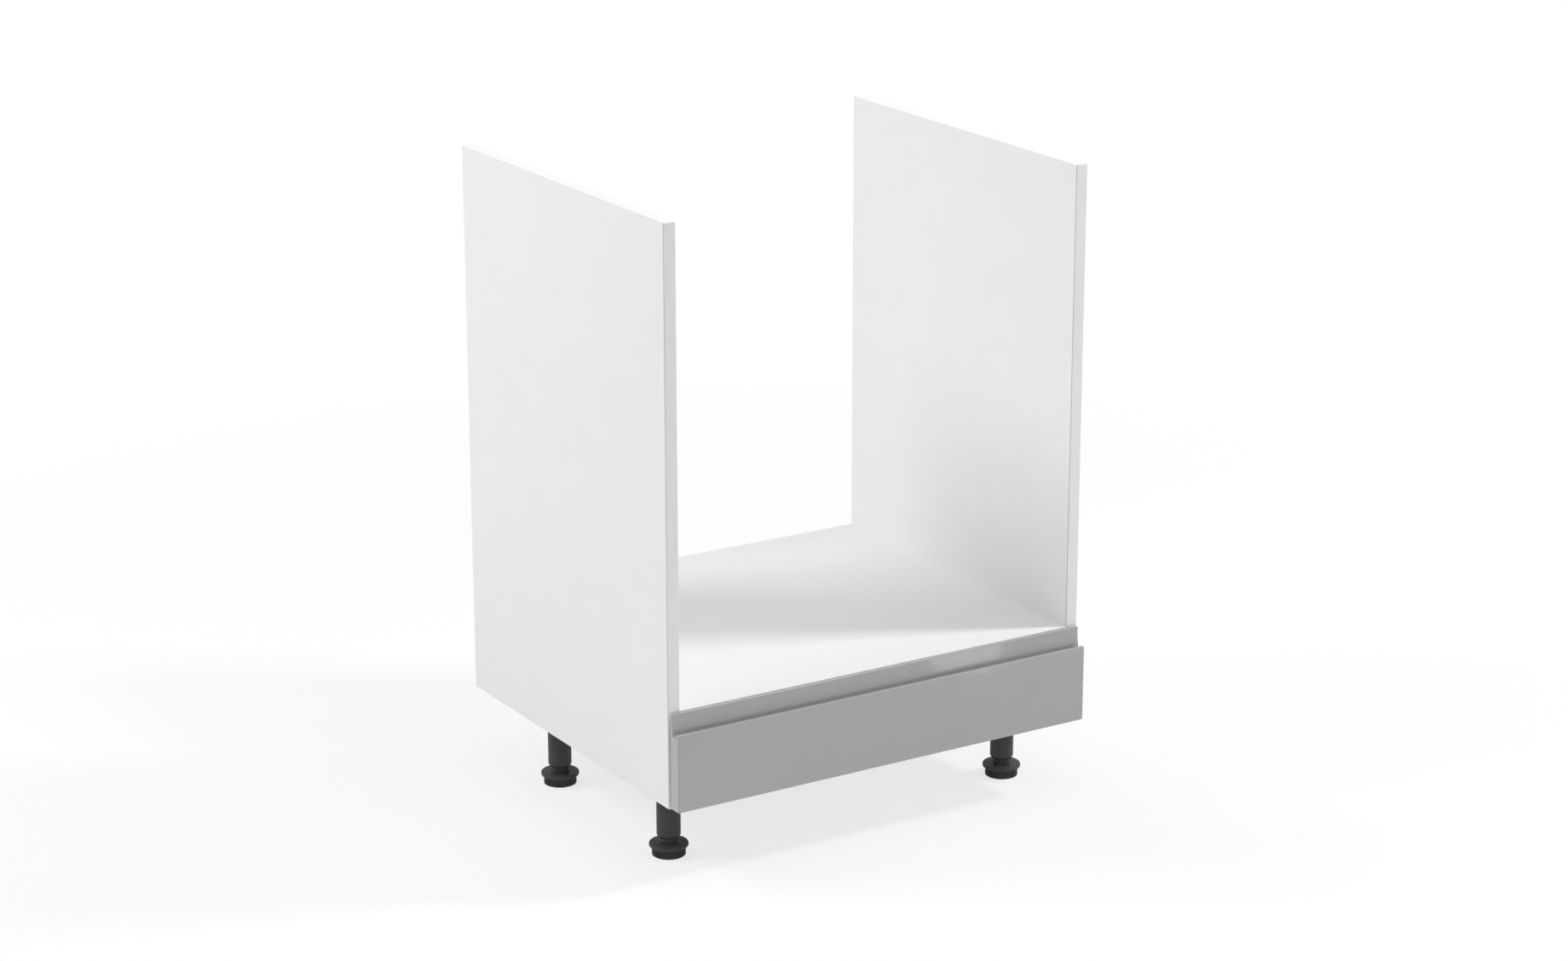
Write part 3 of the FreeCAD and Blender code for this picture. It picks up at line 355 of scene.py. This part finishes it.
def black_moulded_plastic(slot, grain):
    """Dark plastic with flow marks, in the fine grain of a spark-eroded mould."""
    finish = Finish(slot, {"Specular IOR Level": 0.3})
    spark = finish.noise(grain, detail=3.0)
    flow = finish.noise(12 * MM, stretch=(1, 1, 2))
    finish.feed("Base Color", flow.shades(PAINT[slot], 0.9, 1.12))
    finish.feed("Roughness", 0.5 + 0.14 * spark)
    finish.relief(spark, 0.03 * MM)
    return finish.material


def white_coated_steel():
    """Epoxy powder coat with a little orange peel."""
    finish = Finish("white_coated_steel", {"Specular IOR Level": 0.5})
    peel = finish.noise(1.1 * MM, detail=1.0)
    finish.feed("Base Color", finish.noise(30 * MM).shades(PAINT["white_coated_steel"], 0.96, 1.02))
    finish.feed("Roughness", 0.28 + 0.1 * peel)
    finish.relief(peel, 0.02 * MM)
    return finish.material


def nylon():
    """Milky nylon with small specks."""
    finish = Finish("natural_nylon", {
        "Specular IOR Level": 0.45,
        "Subsurface Weight": 0.15,
        "Subsurface Scale": 1.5 * MM,
    })
    speck = finish.noise(0.8 * MM, detail=3.0)
    finish.feed("Base Color", speck.shades(PAINT["nylon_roller"], 0.93, 1.03))
    finish.feed("Roughness", 0.38 + 0.16 * speck)
    finish.relief(speck, 0.015 * MM)
    return finish.material


def plated_metal(name, slot, grain, stretch, spread):
    """Bare or plated metal: cloudy crystals and fine lines left by the tool."""
    finish = Finish(name, {"Metallic": 1.0})
    lines = finish.noise(grain, detail=3.0, stretch=stretch)
    finish.feed("Base Color", finish.noise(5 * MM).shades(PAINT[slot], 0.86, 1.08))
    finish.feed("Roughness", 0.28 + spread * lines)
    finish.relief(lines, 0.01 * MM)
    return finish.material


def beech():
    """Pressed beech with long grain and short dark flecks."""
    finish = Finish("beech", {"Specular IOR Level": 0.35})
    grain = finish.noise(0.6 * MM, detail=4.0, stretch=(14, 1, 1))
    fleck = finish.cells(1.4 * MM, "Distance", (3, 1, 1)).ramp(0.1, 0.25)
    finish.feed("Base Color", (grain * fleck).shades(PAINT["beech_dowel"], 0.6, 1.15))
    finish.feed("Roughness", 0.55 + 0.2 * grain)
    finish.relief(grain, 0.04 * MM)
    return finish.material


def clear_silicone():
    """Soft clear disc with a dusty skin."""
    finish = Finish("clear_silicone", {"Transmission Weight": 0.6, "IOR": 1.41})
    dust = finish.noise(1.5 * MM, detail=3.0)
    finish.feed("Base Color", dust.shades(PAINT["clear_bumper"], 1.0, 1.15))
    finish.feed("Roughness", 0.25 + 0.25 * dust)
    finish.relief(dust, 0.02 * MM)
    return finish.material


FINISHES = {
    "white_board": white_laminate("white_laminate", raw_rear=True),
    "white_edge_band": white_edge_band(),
    "white_hardboard": white_hardboard(),
    "grey_gloss_front": grey_gloss_lacquer(),
    "black_leg_plastic": black_moulded_plastic("black_leg_plastic", 0.5 * MM),
    "black_foot_plastic": black_moulded_plastic("black_foot_plastic", 0.35 * MM),
    "white_coated_steel": white_coated_steel(),
    "nylon_roller": nylon(),
    "steel_axle": plated_metal("turned_steel", "steel_axle", 0.15 * MM, TURNED_LINES, 0.2),
    "steel_bolt": plated_metal("plated_bolt", "steel_bolt", 0.15 * MM, TURNED_LINES, 0.2),
    "zinc_cam": plated_metal("cast_zinc", "zinc_cam", 0.4 * MM, (1, 1, 1), 0.3),
    "zinc_screw": plated_metal("plated_screw", "zinc_screw", 0.2 * MM, TURNED_LINES, 0.22),
    "beech_dowel": beech(),
    "clear_bumper": clear_silicone(),
}
RAIL_FINISH = white_laminate("white_laminate_rail", raw_rear=False)
SLOT_OF = {entry["node"]: entry["material_slot"] for entry in frame["record"]["subparts"]}
BODY_OF = {
    node: body for body, nodes in frame["record"]["behaviour"]["bodies"].items() for node in nodes
}


def dress_cad_nodes():
    for name, thing in frame["nodes"].items():
        thing.data.materials.clear()
        thing.data.materials.append(RAIL_FINISH if name == "rear_rail" else FINISHES[SLOT_OF[name]])


def stand_in(name, mesh, node):
    """Object for a finished mesh that takes the place of a CAD node on its body."""
    piece = bpy.data.objects.new(name, mesh)
    bpy.context.scene.collection.objects.link(piece)
    if not mesh.materials:
        mesh.materials.append(FINISHES[SLOT_OF[node]])
    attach(piece, BODY_OF[node])
    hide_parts(node)
    return piece


def arc(start, finish, radius, turn, steps=ARC_STEPS):
    """Points of the shorter arc after its start; turn is 1 anticlockwise and -1 clockwise."""
    start, finish = Vector(start), Vector(finish)
    chord = finish - start
    normal = Vector((-chord.y, chord.x)).normalized() * turn
    rise = math.sqrt(max(radius ** 2 - chord.length_squared / 4, 0))
    centre = (start + finish) / 2 + normal * rise
    first = start - centre
    sweep = 2 * math.asin(min(chord.length / 2 / radius, 1)) * turn
    return [centre + Matrix.Rotation(sweep * step / steps, 2) @ first for step in range(1, steps + 1)]


def outer_round(start, finish, radius, steps=ARC_STEPS):
    """Clockwise arc with its start, for the outer corners of a section that runs clockwise."""
    return [Vector(start)] + arc(start, finish, radius, -1, steps)


def rounded(corners, radius):
    """Outline with its corners rounded, but for its ends and a corner given as (x, y, True)."""
    points = []
    for index, corner in enumerate(corners):
        here = Vector(corner[:2])
        if len(corner) == 3 or index in (0, len(corners) - 1):
            points.append(here)
            continue
        before = Vector(corners[index - 1][:2]) - here
        after = Vector(corners[index + 1][:2]) - here
        half = before.angle(after) / 2
        shorter = min(before.length, after.length)
        reach = min(radius / math.tan(half), shorter * ROUND_SHARE)
        first = here + before.normalized() * reach
        last = here + after.normalized() * reach
        bend = 1 if before.x * after.y - before.y * after.x < 0 else -1
        points += [first] + arc(first, last, reach * math.tan(half), bend, ROUND_STEPS)
    return points


def smooth_mesh(bm, name):
    """Mesh with soft shading, broken at its sharp edges, and faces that point outwards."""
    bmesh.ops.remove_doubles(bm, verts=bm.verts, dist=WELD_DISTANCE)
    bmesh.ops.recalc_face_normals(bm, faces=bm.faces)
    for face in bm.faces:
        face.smooth = True
    for edge in bm.edges:
        edge.smooth = len(edge.link_faces) == 2 and edge.calc_face_angle() < SHARP_ANGLE
    mesh = bpy.data.meshes.new(name)
    bm.to_mesh(mesh)
    bm.free()
    return mesh


def bridge(bm, lower, upper):
    """Faces between two closed loops of as many points."""
    for step in range(len(lower)):
        following = (step + 1) % len(lower)
        bm.faces.new((lower[step], lower[following], upper[following], upper[step]))


def lathe(bm, outline, at, segments=LEG_SEGMENTS):
    """Turns an outline of radii and heights about an upright axis; a zero radius closes to a pole."""
    rings = []
    for radius, height in outline:
        count = segments if radius > 0 else 1
        ring = []
        for step in range(count):
            angle = math.tau * step / count
            spot = Vector((radius * math.cos(angle), radius * math.sin(angle), height))
            ring.append(bm.verts.new(spot + at))
        rings.append(ring)
    for lower, upper in zip(rings, rings[1:]):
        for step in range(segments):
            following = (step + 1) % segments
            corners = [lower[step % len(lower)], lower[following % len(lower)],
                       upper[following % len(upper)], upper[step % len(upper)]]
            unique = list(dict.fromkeys(corners))
            if len(unique) > 2:
                bm.faces.new(unique)
    return rings


def make_drawer_front():
    """Front with a finger groove scooped behind its lip, its section drawn in depth and height."""
    low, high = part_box("drawer_front")
    lip_top = high.z - LIP_DROP
    groove_floor = lip_top - GROOVE_DEPTH
    lip_back = low.y + LIP_THICKNESS
    groove_back = high.y - GROOVE_WALL
    bend = (groove_back - lip_back) * GROOVE_BEND_SHARE
    crest = Vector((high.y - TOP_LIP, high.z))
    section = outer_round((low.y + FRONT_ROUND, low.z), (low.y, low.z + FRONT_ROUND), FRONT_ROUND)
    section += outer_round((low.y, lip_top - LIP_ROUND), (low.y + LIP_ROUND, lip_top), LIP_ROUND)
    section += outer_round((lip_back - LIP_ROUND, lip_top), (lip_back, lip_top - LIP_ROUND), LIP_ROUND)
    section.append(Vector((lip_back, groove_floor)))
    section += arc(section[-1], (groove_back, groove_floor), bend, 1, 2 * ARC_STEPS)
    scoop = arc(section[-1], crest, SCOOP_RADIUS, 1, 2 * ARC_STEPS)
    scoop[-1] += (scoop[-2] - scoop[-1]).normalized() * TOP_LIP_ROUND
    section += scoop
    section += arc(section[-1], (crest.x + TOP_LIP_ROUND, crest.y), TOP_LIP_ROUND, -1, TOP_LIP_STEPS)
    rear_edge = (high.y, high.z - TOP_LIP_ROUND)
    section += outer_round((high.y - TOP_LIP_ROUND, high.z), rear_edge, TOP_LIP_ROUND, TOP_LIP_STEPS)
    section.append(Vector((high.y, low.z)))
    bm = bmesh.new()
    ends = []
    for x in (low.x, high.x):
        ends.append([bm.verts.new((x, point.x, point.y)) for point in section])
    for end in ends:
        bm.faces.new(end)
    bridge(bm, *ends)
    name = "drawer_front_lacquered"
    piece = stand_in(name, smooth_mesh(bm, name), "drawer_front")
    bevel = piece.modifiers.new("rounded_ends", "BEVEL")
    bevel.width = END_ROUND
    bevel.segments = END_ROUND_STEPS
    bevel.limit_method = "ANGLE"
    bevel.angle_limit = END_EDGE_ANGLE
    bevel.use_clamp_overlap = False
    even = piece.modifiers.new("even_shading", "WEIGHTED_NORMAL")
    even.weight = LARGE_FACE_WEIGHT
    even.keep_sharp = False


def leg_axis(corner):
    low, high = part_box(f"leg_tube_{corner}")
    return Vector(((low.x + high.x) / 2, (low.y + high.y) / 2, 0))


def make_leg_tube(corner):
    """Moulded tube, chamfered at its lower end."""
    low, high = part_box(f"leg_tube_{corner}")
    outer = (high.x - low.x) / 2
    bore = outer - TUBE_WALL
    outline = rounded([
        (bore, high.z, True),
        (bore, low.z),
        (outer - TUBE_CHAMFER_WIDTH, low.z),
        (outer, low.z + TUBE_CHAMFER_HEIGHT),
        (outer, high.z, True),
        (bore, high.z, True),
    ], MOULD_ROUND)
    bm = bmesh.new()
    lathe(bm, outline, leg_axis(corner))
    name = f"moulded_tube_{corner}"
    stand_in(name, smooth_mesh(bm, name), f"leg_tube_{corner}")


def flank(turns):
    """Trapezium wave of a thread over its turns: 1 on the crest and 0 at the root."""
    from_crest = abs(turns % 1 - 0.5)
    slope_width = 0.5 - THREAD_FLAT_SHARE
    root_start = 0.5 - THREAD_FLAT_SHARE / 2
    return min(max((root_start - from_crest) / slope_width, 0), 1)


def thread(bm, ring, length, root, depth, pitch, steps):
    """Right-hand thread up from a ring, which fades in and out over a turn; returns its last ring."""
    count = len(ring)
    centre = sum((vert.co for vert in ring), Vector()) / count
    rows = round(length / pitch * steps)
    for row in range(1, rows + 1):
        rise = length * row / rows
        fade = min(rise / pitch, (length - rise) / pitch, 1)
        above = []
        for step in range(count):
            share = step / count
            radius = root + depth * fade * flank(rise / pitch - share)
            angle = math.tau * share
            spot = Vector((radius * math.cos(angle), radius * math.sin(angle), rise))
            above.append(bm.verts.new(spot + centre))
        bridge(bm, ring, above)
        ring = above
    return ring


def make_foot_spindle(corner):
    """Hollow screw with a right-hand trapezium thread, the flange that turns it and the pivot below."""
    low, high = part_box(f"foot_spindle_{corner}")
    base_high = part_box(f"foot_base_{corner}")[1]
    tube_low, tube_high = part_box(f"leg_tube_{corner}")
    flange = (high.x - low.x) / 2
    flange_under = base_high.z + FLANGE_GAP
    flange_top = flange_under + FLANGE_THICKNESS
    crest = (tube_high.x - tube_low.x) / 2 - TUBE_WALL - SPINDLE_CLEARANCE
    root = crest - SPINDLE_THREAD_DEPTH
    pivot = PIVOT_BORE - PIVOT_CLEARANCE
    bm = bmesh.new()
    outline = rounded([
        (0, low.z),
        (pivot, low.z),
        (pivot, flange_under, True),
        (flange, flange_under),
        (flange, flange_top),
        (root, flange_top),
    ], FLANGE_ROUND)
    rings = lathe(bm, outline, leg_axis(corner))
    length = high.z - flange_top
    end = thread(bm, rings[-1], length, root, SPINDLE_THREAD_DEPTH, SPINDLE_PITCH, SPINDLE_PITCH_STEPS)
    hollow = crest - SPINDLE_WALL
    bore = lathe(bm, [(0, flange_top), (hollow, flange_top), (hollow, high.z)], leg_axis(corner))
    bridge(bm, end, bore[-1])
    name = f"threaded_foot_{corner}"
    stand_in(name, smooth_mesh(bm, name), f"foot_spindle_{corner}")


def node_tree(name, inputs):
    """Empty geometry tree with named inputs; returns it, a wire for each input and the output node."""
    tree = bpy.data.node_groups.new(name, "GeometryNodeTree")
    tree.interface.new_socket("Geometry", in_out="OUTPUT", socket_type="NodeSocketGeometry")
    for label, kind in inputs.items():
        tree.interface.new_socket(label, in_out="INPUT", socket_type=kind)
    entry = tree.nodes.new("NodeGroupInput")
    wires = {label: Wire(tree, entry.outputs[label]) for label in inputs}
    return tree, wires, tree.nodes.new("NodeGroupOutput")


def end_tree(tree, out, shape, material):
    """Ends a tree in real geometry with one material."""
    real = shape.add("GeometryNodeRealizeInstances", {}, {"Geometry": shape})
    painted = real.add("GeometryNodeSetMaterial", {}, {"Geometry": real, "Material": material})
    tree.links.new(out.inputs["Geometry"], painted.socket)


def grown(name, mesh, tree, values):
    """Plain mesh that a tree makes from a starting mesh and the values of its inputs."""
    maker = bpy.data.objects.new(name, mesh)
    bpy.context.scene.collection.objects.link(maker)
    modifier = maker.modifiers.new(name, "NODES")
    modifier.node_group = tree
    for item in tree.interface.items_tree:
        if item.in_out == "INPUT" and item.name in values:
            modifier[item.identifier] = values[item.name]
    depsgraph = bpy.context.evaluated_depsgraph_get()
    result = bpy.data.meshes.new_from_object(maker.evaluated_get(depsgraph), depsgraph=depsgraph)
    maker.modifiers.remove(modifier)
    bpy.data.objects.remove(maker)
    result.name = name
    return result


def rib_tree():
    """Upright ribs on a circle, added to the turned core that they stand on."""
    tree, wires, out = node_tree("foot_ribs", {
        "Geometry": "NodeSocketGeometry",
        "Count": "NodeSocketInt",
        "Radius": "NodeSocketFloat",
        "Rib Width": "NodeSocketFloat",
        "Rib Height": "NodeSocketFloat",
        "Centre": "NodeSocketVector",
        "Material": "NodeSocketMaterial",
    })
    core = wires["Geometry"]
    circle = core.add("GeometryNodeMeshCircle", {}, {
        "Vertices": wires["Count"],
        "Radius": wires["Radius"],
    })
    rib = core.add("GeometryNodeMeshCylinder", {}, {
        "Vertices": RIB_SIDES,
        "Radius": wires["Rib Width"] * 0.5,
        "Depth": wires["Rib Height"],
    })
    ribs = core.add("GeometryNodeInstanceOnPoints", {}, {"Points": circle, "Instance": rib})
    placed = core.add("GeometryNodeTransform", {}, {"Geometry": ribs, "Translation": wires["Centre"]})
    joined = core.add("GeometryNodeJoinGeometry", {}, {"Geometry": placed})
    tree.links.new(joined.socket.node.inputs["Geometry"], core.socket)
    end_tree(tree, out, joined, wires["Material"])
    return tree


def make_foot_base(corner, tree):
    """Base that stands on the floor, with ribs all round and a bore for the pivot."""
    node = f"foot_base_{corner}"
    low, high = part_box(node)
    axis = leg_axis(corner)
    outer = (high.x - low.x) / 2
    core = outer - RIB_STAND
    bore_floor = high.z - PIVOT_DEPTH
    outline = rounded([
        (0, low.z, True),
        (core, low.z),
        (core, high.z),
        (PIVOT_BORE, high.z, True),
        (PIVOT_BORE, bore_floor, True),
        (0, bore_floor, True),
    ], MOULD_ROUND)
    bm = bmesh.new()
    lathe(bm, outline, axis)
    name = f"ribbed_base_{corner}"
    mesh = grown(name, smooth_mesh(bm, f"{name}_core"), tree, {
        "Count": RIB_COUNT,
        "Radius": outer - RIB_WIDTH / 2,
        "Rib Width": RIB_WIDTH,
        "Rib Height": high.z - low.z - 2 * MOULD_ROUND,
        "Centre": axis + Vector((0, 0, (low.z + high.z) / 2)),
        "Material": FINISHES[SLOT_OF[node]],
    })
    stand_in(name, mesh, node)


def cross(radius, half_width, height):
    """Corners of a cross about the origin, at a height."""
    arm = [(radius, -half_width), (radius, half_width), (half_width, half_width)]
    turns = [Matrix.Rotation(math.pi / 2 * quarter, 2) for quarter in range(4)]
    return [Vector((*(turn @ Vector(corner)), height)) for turn in turns for corner in arm]


def loop_edges(bm, loop):
    return [bm.edges.get((loop[step - 1], loop[step])) for step in range(len(loop))]


def sink_recess(bm, rim, head):
    """Cross recess in the face of a head, which is filled between its mouth and the rim."""
    radius = head * RECESS_LENGTH_SHARE
    half_width = RECESS_ARM_WIDTH / 2
    mouth = [bm.verts.new(spot) for spot in cross(radius, half_width, 0)]
    taper = RECESS_TAPER
    floor = [bm.verts.new(spot) for spot in cross(radius * taper, half_width * taper, RECESS_DEPTH)]
    bridge(bm, mouth, floor)
    bm.faces.new(floor)
    bmesh.ops.triangle_fill(bm, use_beauty=True, edges=loop_edges(bm, mouth) + loop_edges(bm, rim))


def screw_mesh(name, head, length, head_height, shank, sunk):
    """Screw along its own Z from the face of its head, sunk as a cone or domed, to its tip."""
    root = shank / 2 - SCREW_THREAD_DEPTH
    thread_length = length - head_height - shank / 2
    outline = [(head, 0)]
    if not sunk:
        outline = [(head - SCREW_HEAD_ROUND, 0), (head, SCREW_HEAD_ROUND), (head, head_height)]
    outline.append((root, head_height))
    bm = bmesh.new()
    rings = lathe(bm, outline, Vector(), SCREW_SEGMENTS)
    end = thread(bm, rings[-1], thread_length, root, SCREW_THREAD_DEPTH, SCREW_PITCH, SCREW_PITCH_STEPS)
    tip = bm.verts.new((0, 0, length))
    for step in range(SCREW_SEGMENTS):
        bm.faces.new((end[step], end[(step + 1) % SCREW_SEGMENTS], tip))
    sink_recess(bm, rings[0], head)
    return smooth_mesh(bm, name)


def solid_boxes(node):
    """Lowest and highest corners of each separate solid in a CAD node."""
    bm = bmesh.new()
    bm.from_mesh(frame["nodes"][node].data)
    bmesh.ops.remove_doubles(bm, verts=bm.verts, dist=WELD_DISTANCE)
    waiting = set(bm.verts)
    boxes = []
    while waiting:
        found = [waiting.pop()]
        for vert in found:
            neighbours = {edge.other_vert(vert) for edge in vert.link_edges} & waiting
            waiting -= neighbours
            found += sorted(neighbours, key=lambda other: other.index)
        spots = [vert.co for vert in found]
        low = Vector(min(spot[axis] for spot in spots) for axis in (X, Y, Z))
        high = Vector(max(spot[axis] for spot in spots) for axis in (X, Y, Z))
        boxes.append((low, high))
    bm.free()
    return sorted(boxes, key=lambda box: tuple(box[0]))


def screw_tree():
    """One screw on each point, along the point's own direction and stopped at its own angle."""
    tree, wires, out = node_tree("driven_screws", {
        "Geometry": "NodeSocketGeometry",
        "Screw": "NodeSocketObject",
        "Turn Seed": "NodeSocketInt",
        "Material": "NodeSocketMaterial",
    })
    points = wires["Geometry"]
    screw = points.add("GeometryNodeObjectInfo", {}, {"Object": wires["Screw"]}, "Geometry")
    vector = {"data_type": "FLOAT_VECTOR"}
    facing = points.add("GeometryNodeInputNamedAttribute", vector, {"Name": "facing"})
    along = points.add("FunctionNodeAlignRotationToVector", {"axis": "Z"}, {"Vector": facing})
    turns = {RANDOM_HIGH_NUMBER: math.tau, "Seed": wires["Turn Seed"]}
    angle = points.add("FunctionNodeRandomValue", {}, turns, RANDOM_NUMBER)
    spin = points.add("FunctionNodeAxisAngleToRotation", {}, {"Axis": (0, 0, 1), "Angle": angle})
    own_axis = {"rotation_space": "LOCAL"}
    turned = points.add("FunctionNodeRotateRotation", own_axis, {"Rotation": along, "Rotate By": spin})
    placed = points.add("GeometryNodeInstanceOnPoints", {}, {
        "Points": points,
        "Instance": screw,
        "Rotation": turned,
    })
    end_tree(tree, out, placed, wires["Material"])
    return tree


def upwards(middle):
    return Vector((0, 0, 1))


def outwards(middle):
    return Vector((math.copysign(1, middle.x), 0, 0))


def inwards(middle):
    return -outwards(middle)


# Kinds of screw, and the sets of them with the way that they are driven
DOMED_SCREW = {"head_height": 2 * MM, "shank": 3.5 * MM, "sunk": False}
LOW_SCREW = {"head_height": 1 * MM, "shank": 3.5 * MM, "sunk": False}
SUNK_SCREW = {"head_height": 2.9 * MM, "shank": 4.8 * MM, "sunk": True}
SCREW_SETS = {
    "leg_screws": (DOMED_SCREW, upwards),
    "drawer_rail_screws": (DOMED_SCREW, upwards),
    "drawer_bottom_screws": (DOMED_SCREW, upwards),
    "runner_screws": (LOW_SCREW, outwards),
    "rear_rail_screws": (SUNK_SCREW, upwards),
    "drawer_back_screws": (SUNK_SCREW, inwards),
}


def make_screws(node, tree):
    """Screws of one set, one for each solid of their CAD node."""
    kind, driven = SCREW_SETS[node]
    boxes = solid_boxes(node)
    size = boxes[0][1] - boxes[0][0]
    length = max(size)
    middles = [(low + high) / 2 for low, high in boxes]
    directions = [driven(middle) for middle in middles]
    heads = [middle - direction * length / 2 for middle, direction in zip(middles, directions)]
    name = f"driven_{node}"
    template = bpy.data.objects.new(f"{name}_one", screw_mesh(name, min(size) / 2, length, **kind))
    bpy.context.scene.collection.objects.link(template)
    points = bpy.data.meshes.new(f"{name}_points")
    points.from_pydata(heads, [], [])
    facing = points.attributes.new("facing", "FLOAT_VECTOR", "POINT")
    for entry, direction in zip(facing.data, directions):
        entry.vector = direction
    mesh = grown(name, points, tree, {
        "Screw": template,
        "Turn Seed": SCREW_TURN_SEED,
        "Material": FINISHES[SLOT_OF[node]],
    })
    bpy.data.objects.remove(template)
    stand_in(name, mesh, node)


def aim_camera():
    data = bpy.data.cameras.new("camera")
    data.lens = CAMERA_LENS
    camera = bpy.data.objects.new("camera", data)
    camera.location = CAMERA_PLACE
    camera.rotation_euler = (math.pi / 2 - CAMERA_PITCH, 0, -CAMERA_YAW)
    bpy.context.scene.collection.objects.link(camera)
    bpy.context.scene.camera = camera


def seen_directly(tree):
    """1 for rays from the camera, a mirror or glass, and 0 for the light that falls on things."""
    path = tree.nodes.new("ShaderNodeLightPath")
    rays = [Wire(tree, path.outputs[f"Is {kind} Ray"]) for kind in ("Camera", "Glossy", "Transmission")]
    return rays[0].either(rays[1]).either(rays[2])


def hang_lamp(name, place, turn, width, height, level):
    data = bpy.data.lights.new(name, "AREA")
    data.shape = "RECTANGLE"
    data.size = width
    data.size_y = height
    data.energy = level * (math.pi * LAMP_DISTANCE) ** 2
    lamp = bpy.data.objects.new(name, data)
    lamp.location = place
    lamp.rotation_euler = turn
    bpy.context.scene.collection.objects.link(lamp)
    return lamp


def lay_strips():
    """Strips of light that shine up from the floor and show only in the lacquer."""
    along = Vector((math.sin(STRIP_TURN), -math.cos(STRIP_TURN), 0))
    across = Vector((math.cos(STRIP_TURN), math.sin(STRIP_TURN), 0))
    upwards_turn = (math.pi, 0, STRIP_TURN)
    for index, near_end in enumerate(STRIP_NEAR_ENDS):
        crossing = STRIP_CROSSING + across * STRIP_WIDTH * (index - 1)
        ends = [crossing + along * (depth - crossing.y) / along.y for depth in (near_end, STRIP_FAR_END)]
        length = (ends[1] - ends[0]).length
        middle = (ends[0] + ends[1]) / 2
        strip = hang_lamp(f"strip_{index}", middle, upwards_turn, STRIP_WIDTH, length, STRIP_LEVEL)
        strip.visible_camera = False


def light_scene():
    centre = (cad_low + cad_high) / 2
    for name, lamp in LAMPS.items():
        azimuth = math.radians(lamp["azimuth"])
        elevation = math.radians(lamp["elevation"])
        towards = Vector((
            math.sin(azimuth) * math.cos(elevation),
            -math.cos(azimuth) * math.cos(elevation),
            math.sin(elevation),
        ))
        turn = towards.to_track_quat("Z", "Y").to_euler()
        hang_lamp(name, centre + towards * LAMP_DISTANCE, turn, lamp["side"], lamp["side"], lamp["level"])
    lay_strips()
    world = bpy.data.worlds.new("studio")
    world.use_nodes = True
    tree = world.node_tree
    level = AMBIENT_LEVEL + (1 - AMBIENT_LEVEL) * seen_directly(tree)
    tree.links.new(tree.nodes["Background"].inputs["Strength"], level.socket)
    tree.nodes["Background"].inputs["Color"].default_value = WHITE
    bpy.context.scene.world = world


def lay_floor():
    """White floor that keeps a soft shadow of the cabinet."""
    bm = bmesh.new()
    bmesh.ops.create_grid(bm, x_segments=1, y_segments=1, size=FLOOR_HALF)
    mesh = bpy.data.meshes.new("floor")
    bm.to_mesh(mesh)
    bm.free()
    floor = bpy.data.objects.new("floor", mesh)
    bpy.context.scene.collection.objects.link(floor)
    material = bpy.data.materials.new("white_floor")
    material.use_nodes = True
    tree = material.node_tree
    shader = tree.nodes["Principled BSDF"]
    shader.inputs["Base Color"].default_value = FLOOR_PAINT
    shader.inputs["Roughness"].default_value = FLOOR_ROUGHNESS
    shader.inputs["Specular IOR Level"].default_value = 0.0
    direct = seen_directly(tree)
    glow = direct.add("ShaderNodeEmission", {}, {"Color": WHITE, "Strength": 1.0})
    lit = Wire(tree, shader.outputs["BSDF"])
    place = Wire(tree, tree.nodes.new("ShaderNodeTexCoord").outputs["Object"])
    distance = place.add("ShaderNodeVectorMath", {"operation": "LENGTH"}, {0: place}, "Value")
    far = distance.ramp(*SHADOW_REACH)
    white = direct * (FLOOR_WHITE_SHARE + (1 - FLOOR_WHITE_SHARE) * far)
    mixed = direct.add("ShaderNodeMixShader", {}, {0: white, 1: lit, 2: glow})
    tree.links.new(tree.nodes["Material Output"].inputs["Surface"], mixed.socket)
    mesh.materials.append(material)


dress_cad_nodes()
make_drawer_front()
ribs = rib_tree()
for corner in CORNERS:
    make_leg_tube(corner)
    make_foot_spindle(corner)
    make_foot_base(corner, ribs)
screws = screw_tree()
for node in SCREW_SETS:
    make_screws(node, screws)
aim_camera()
light_scene()
lay_floor()
bpy.context.scene.view_settings.view_transform = "Standard"
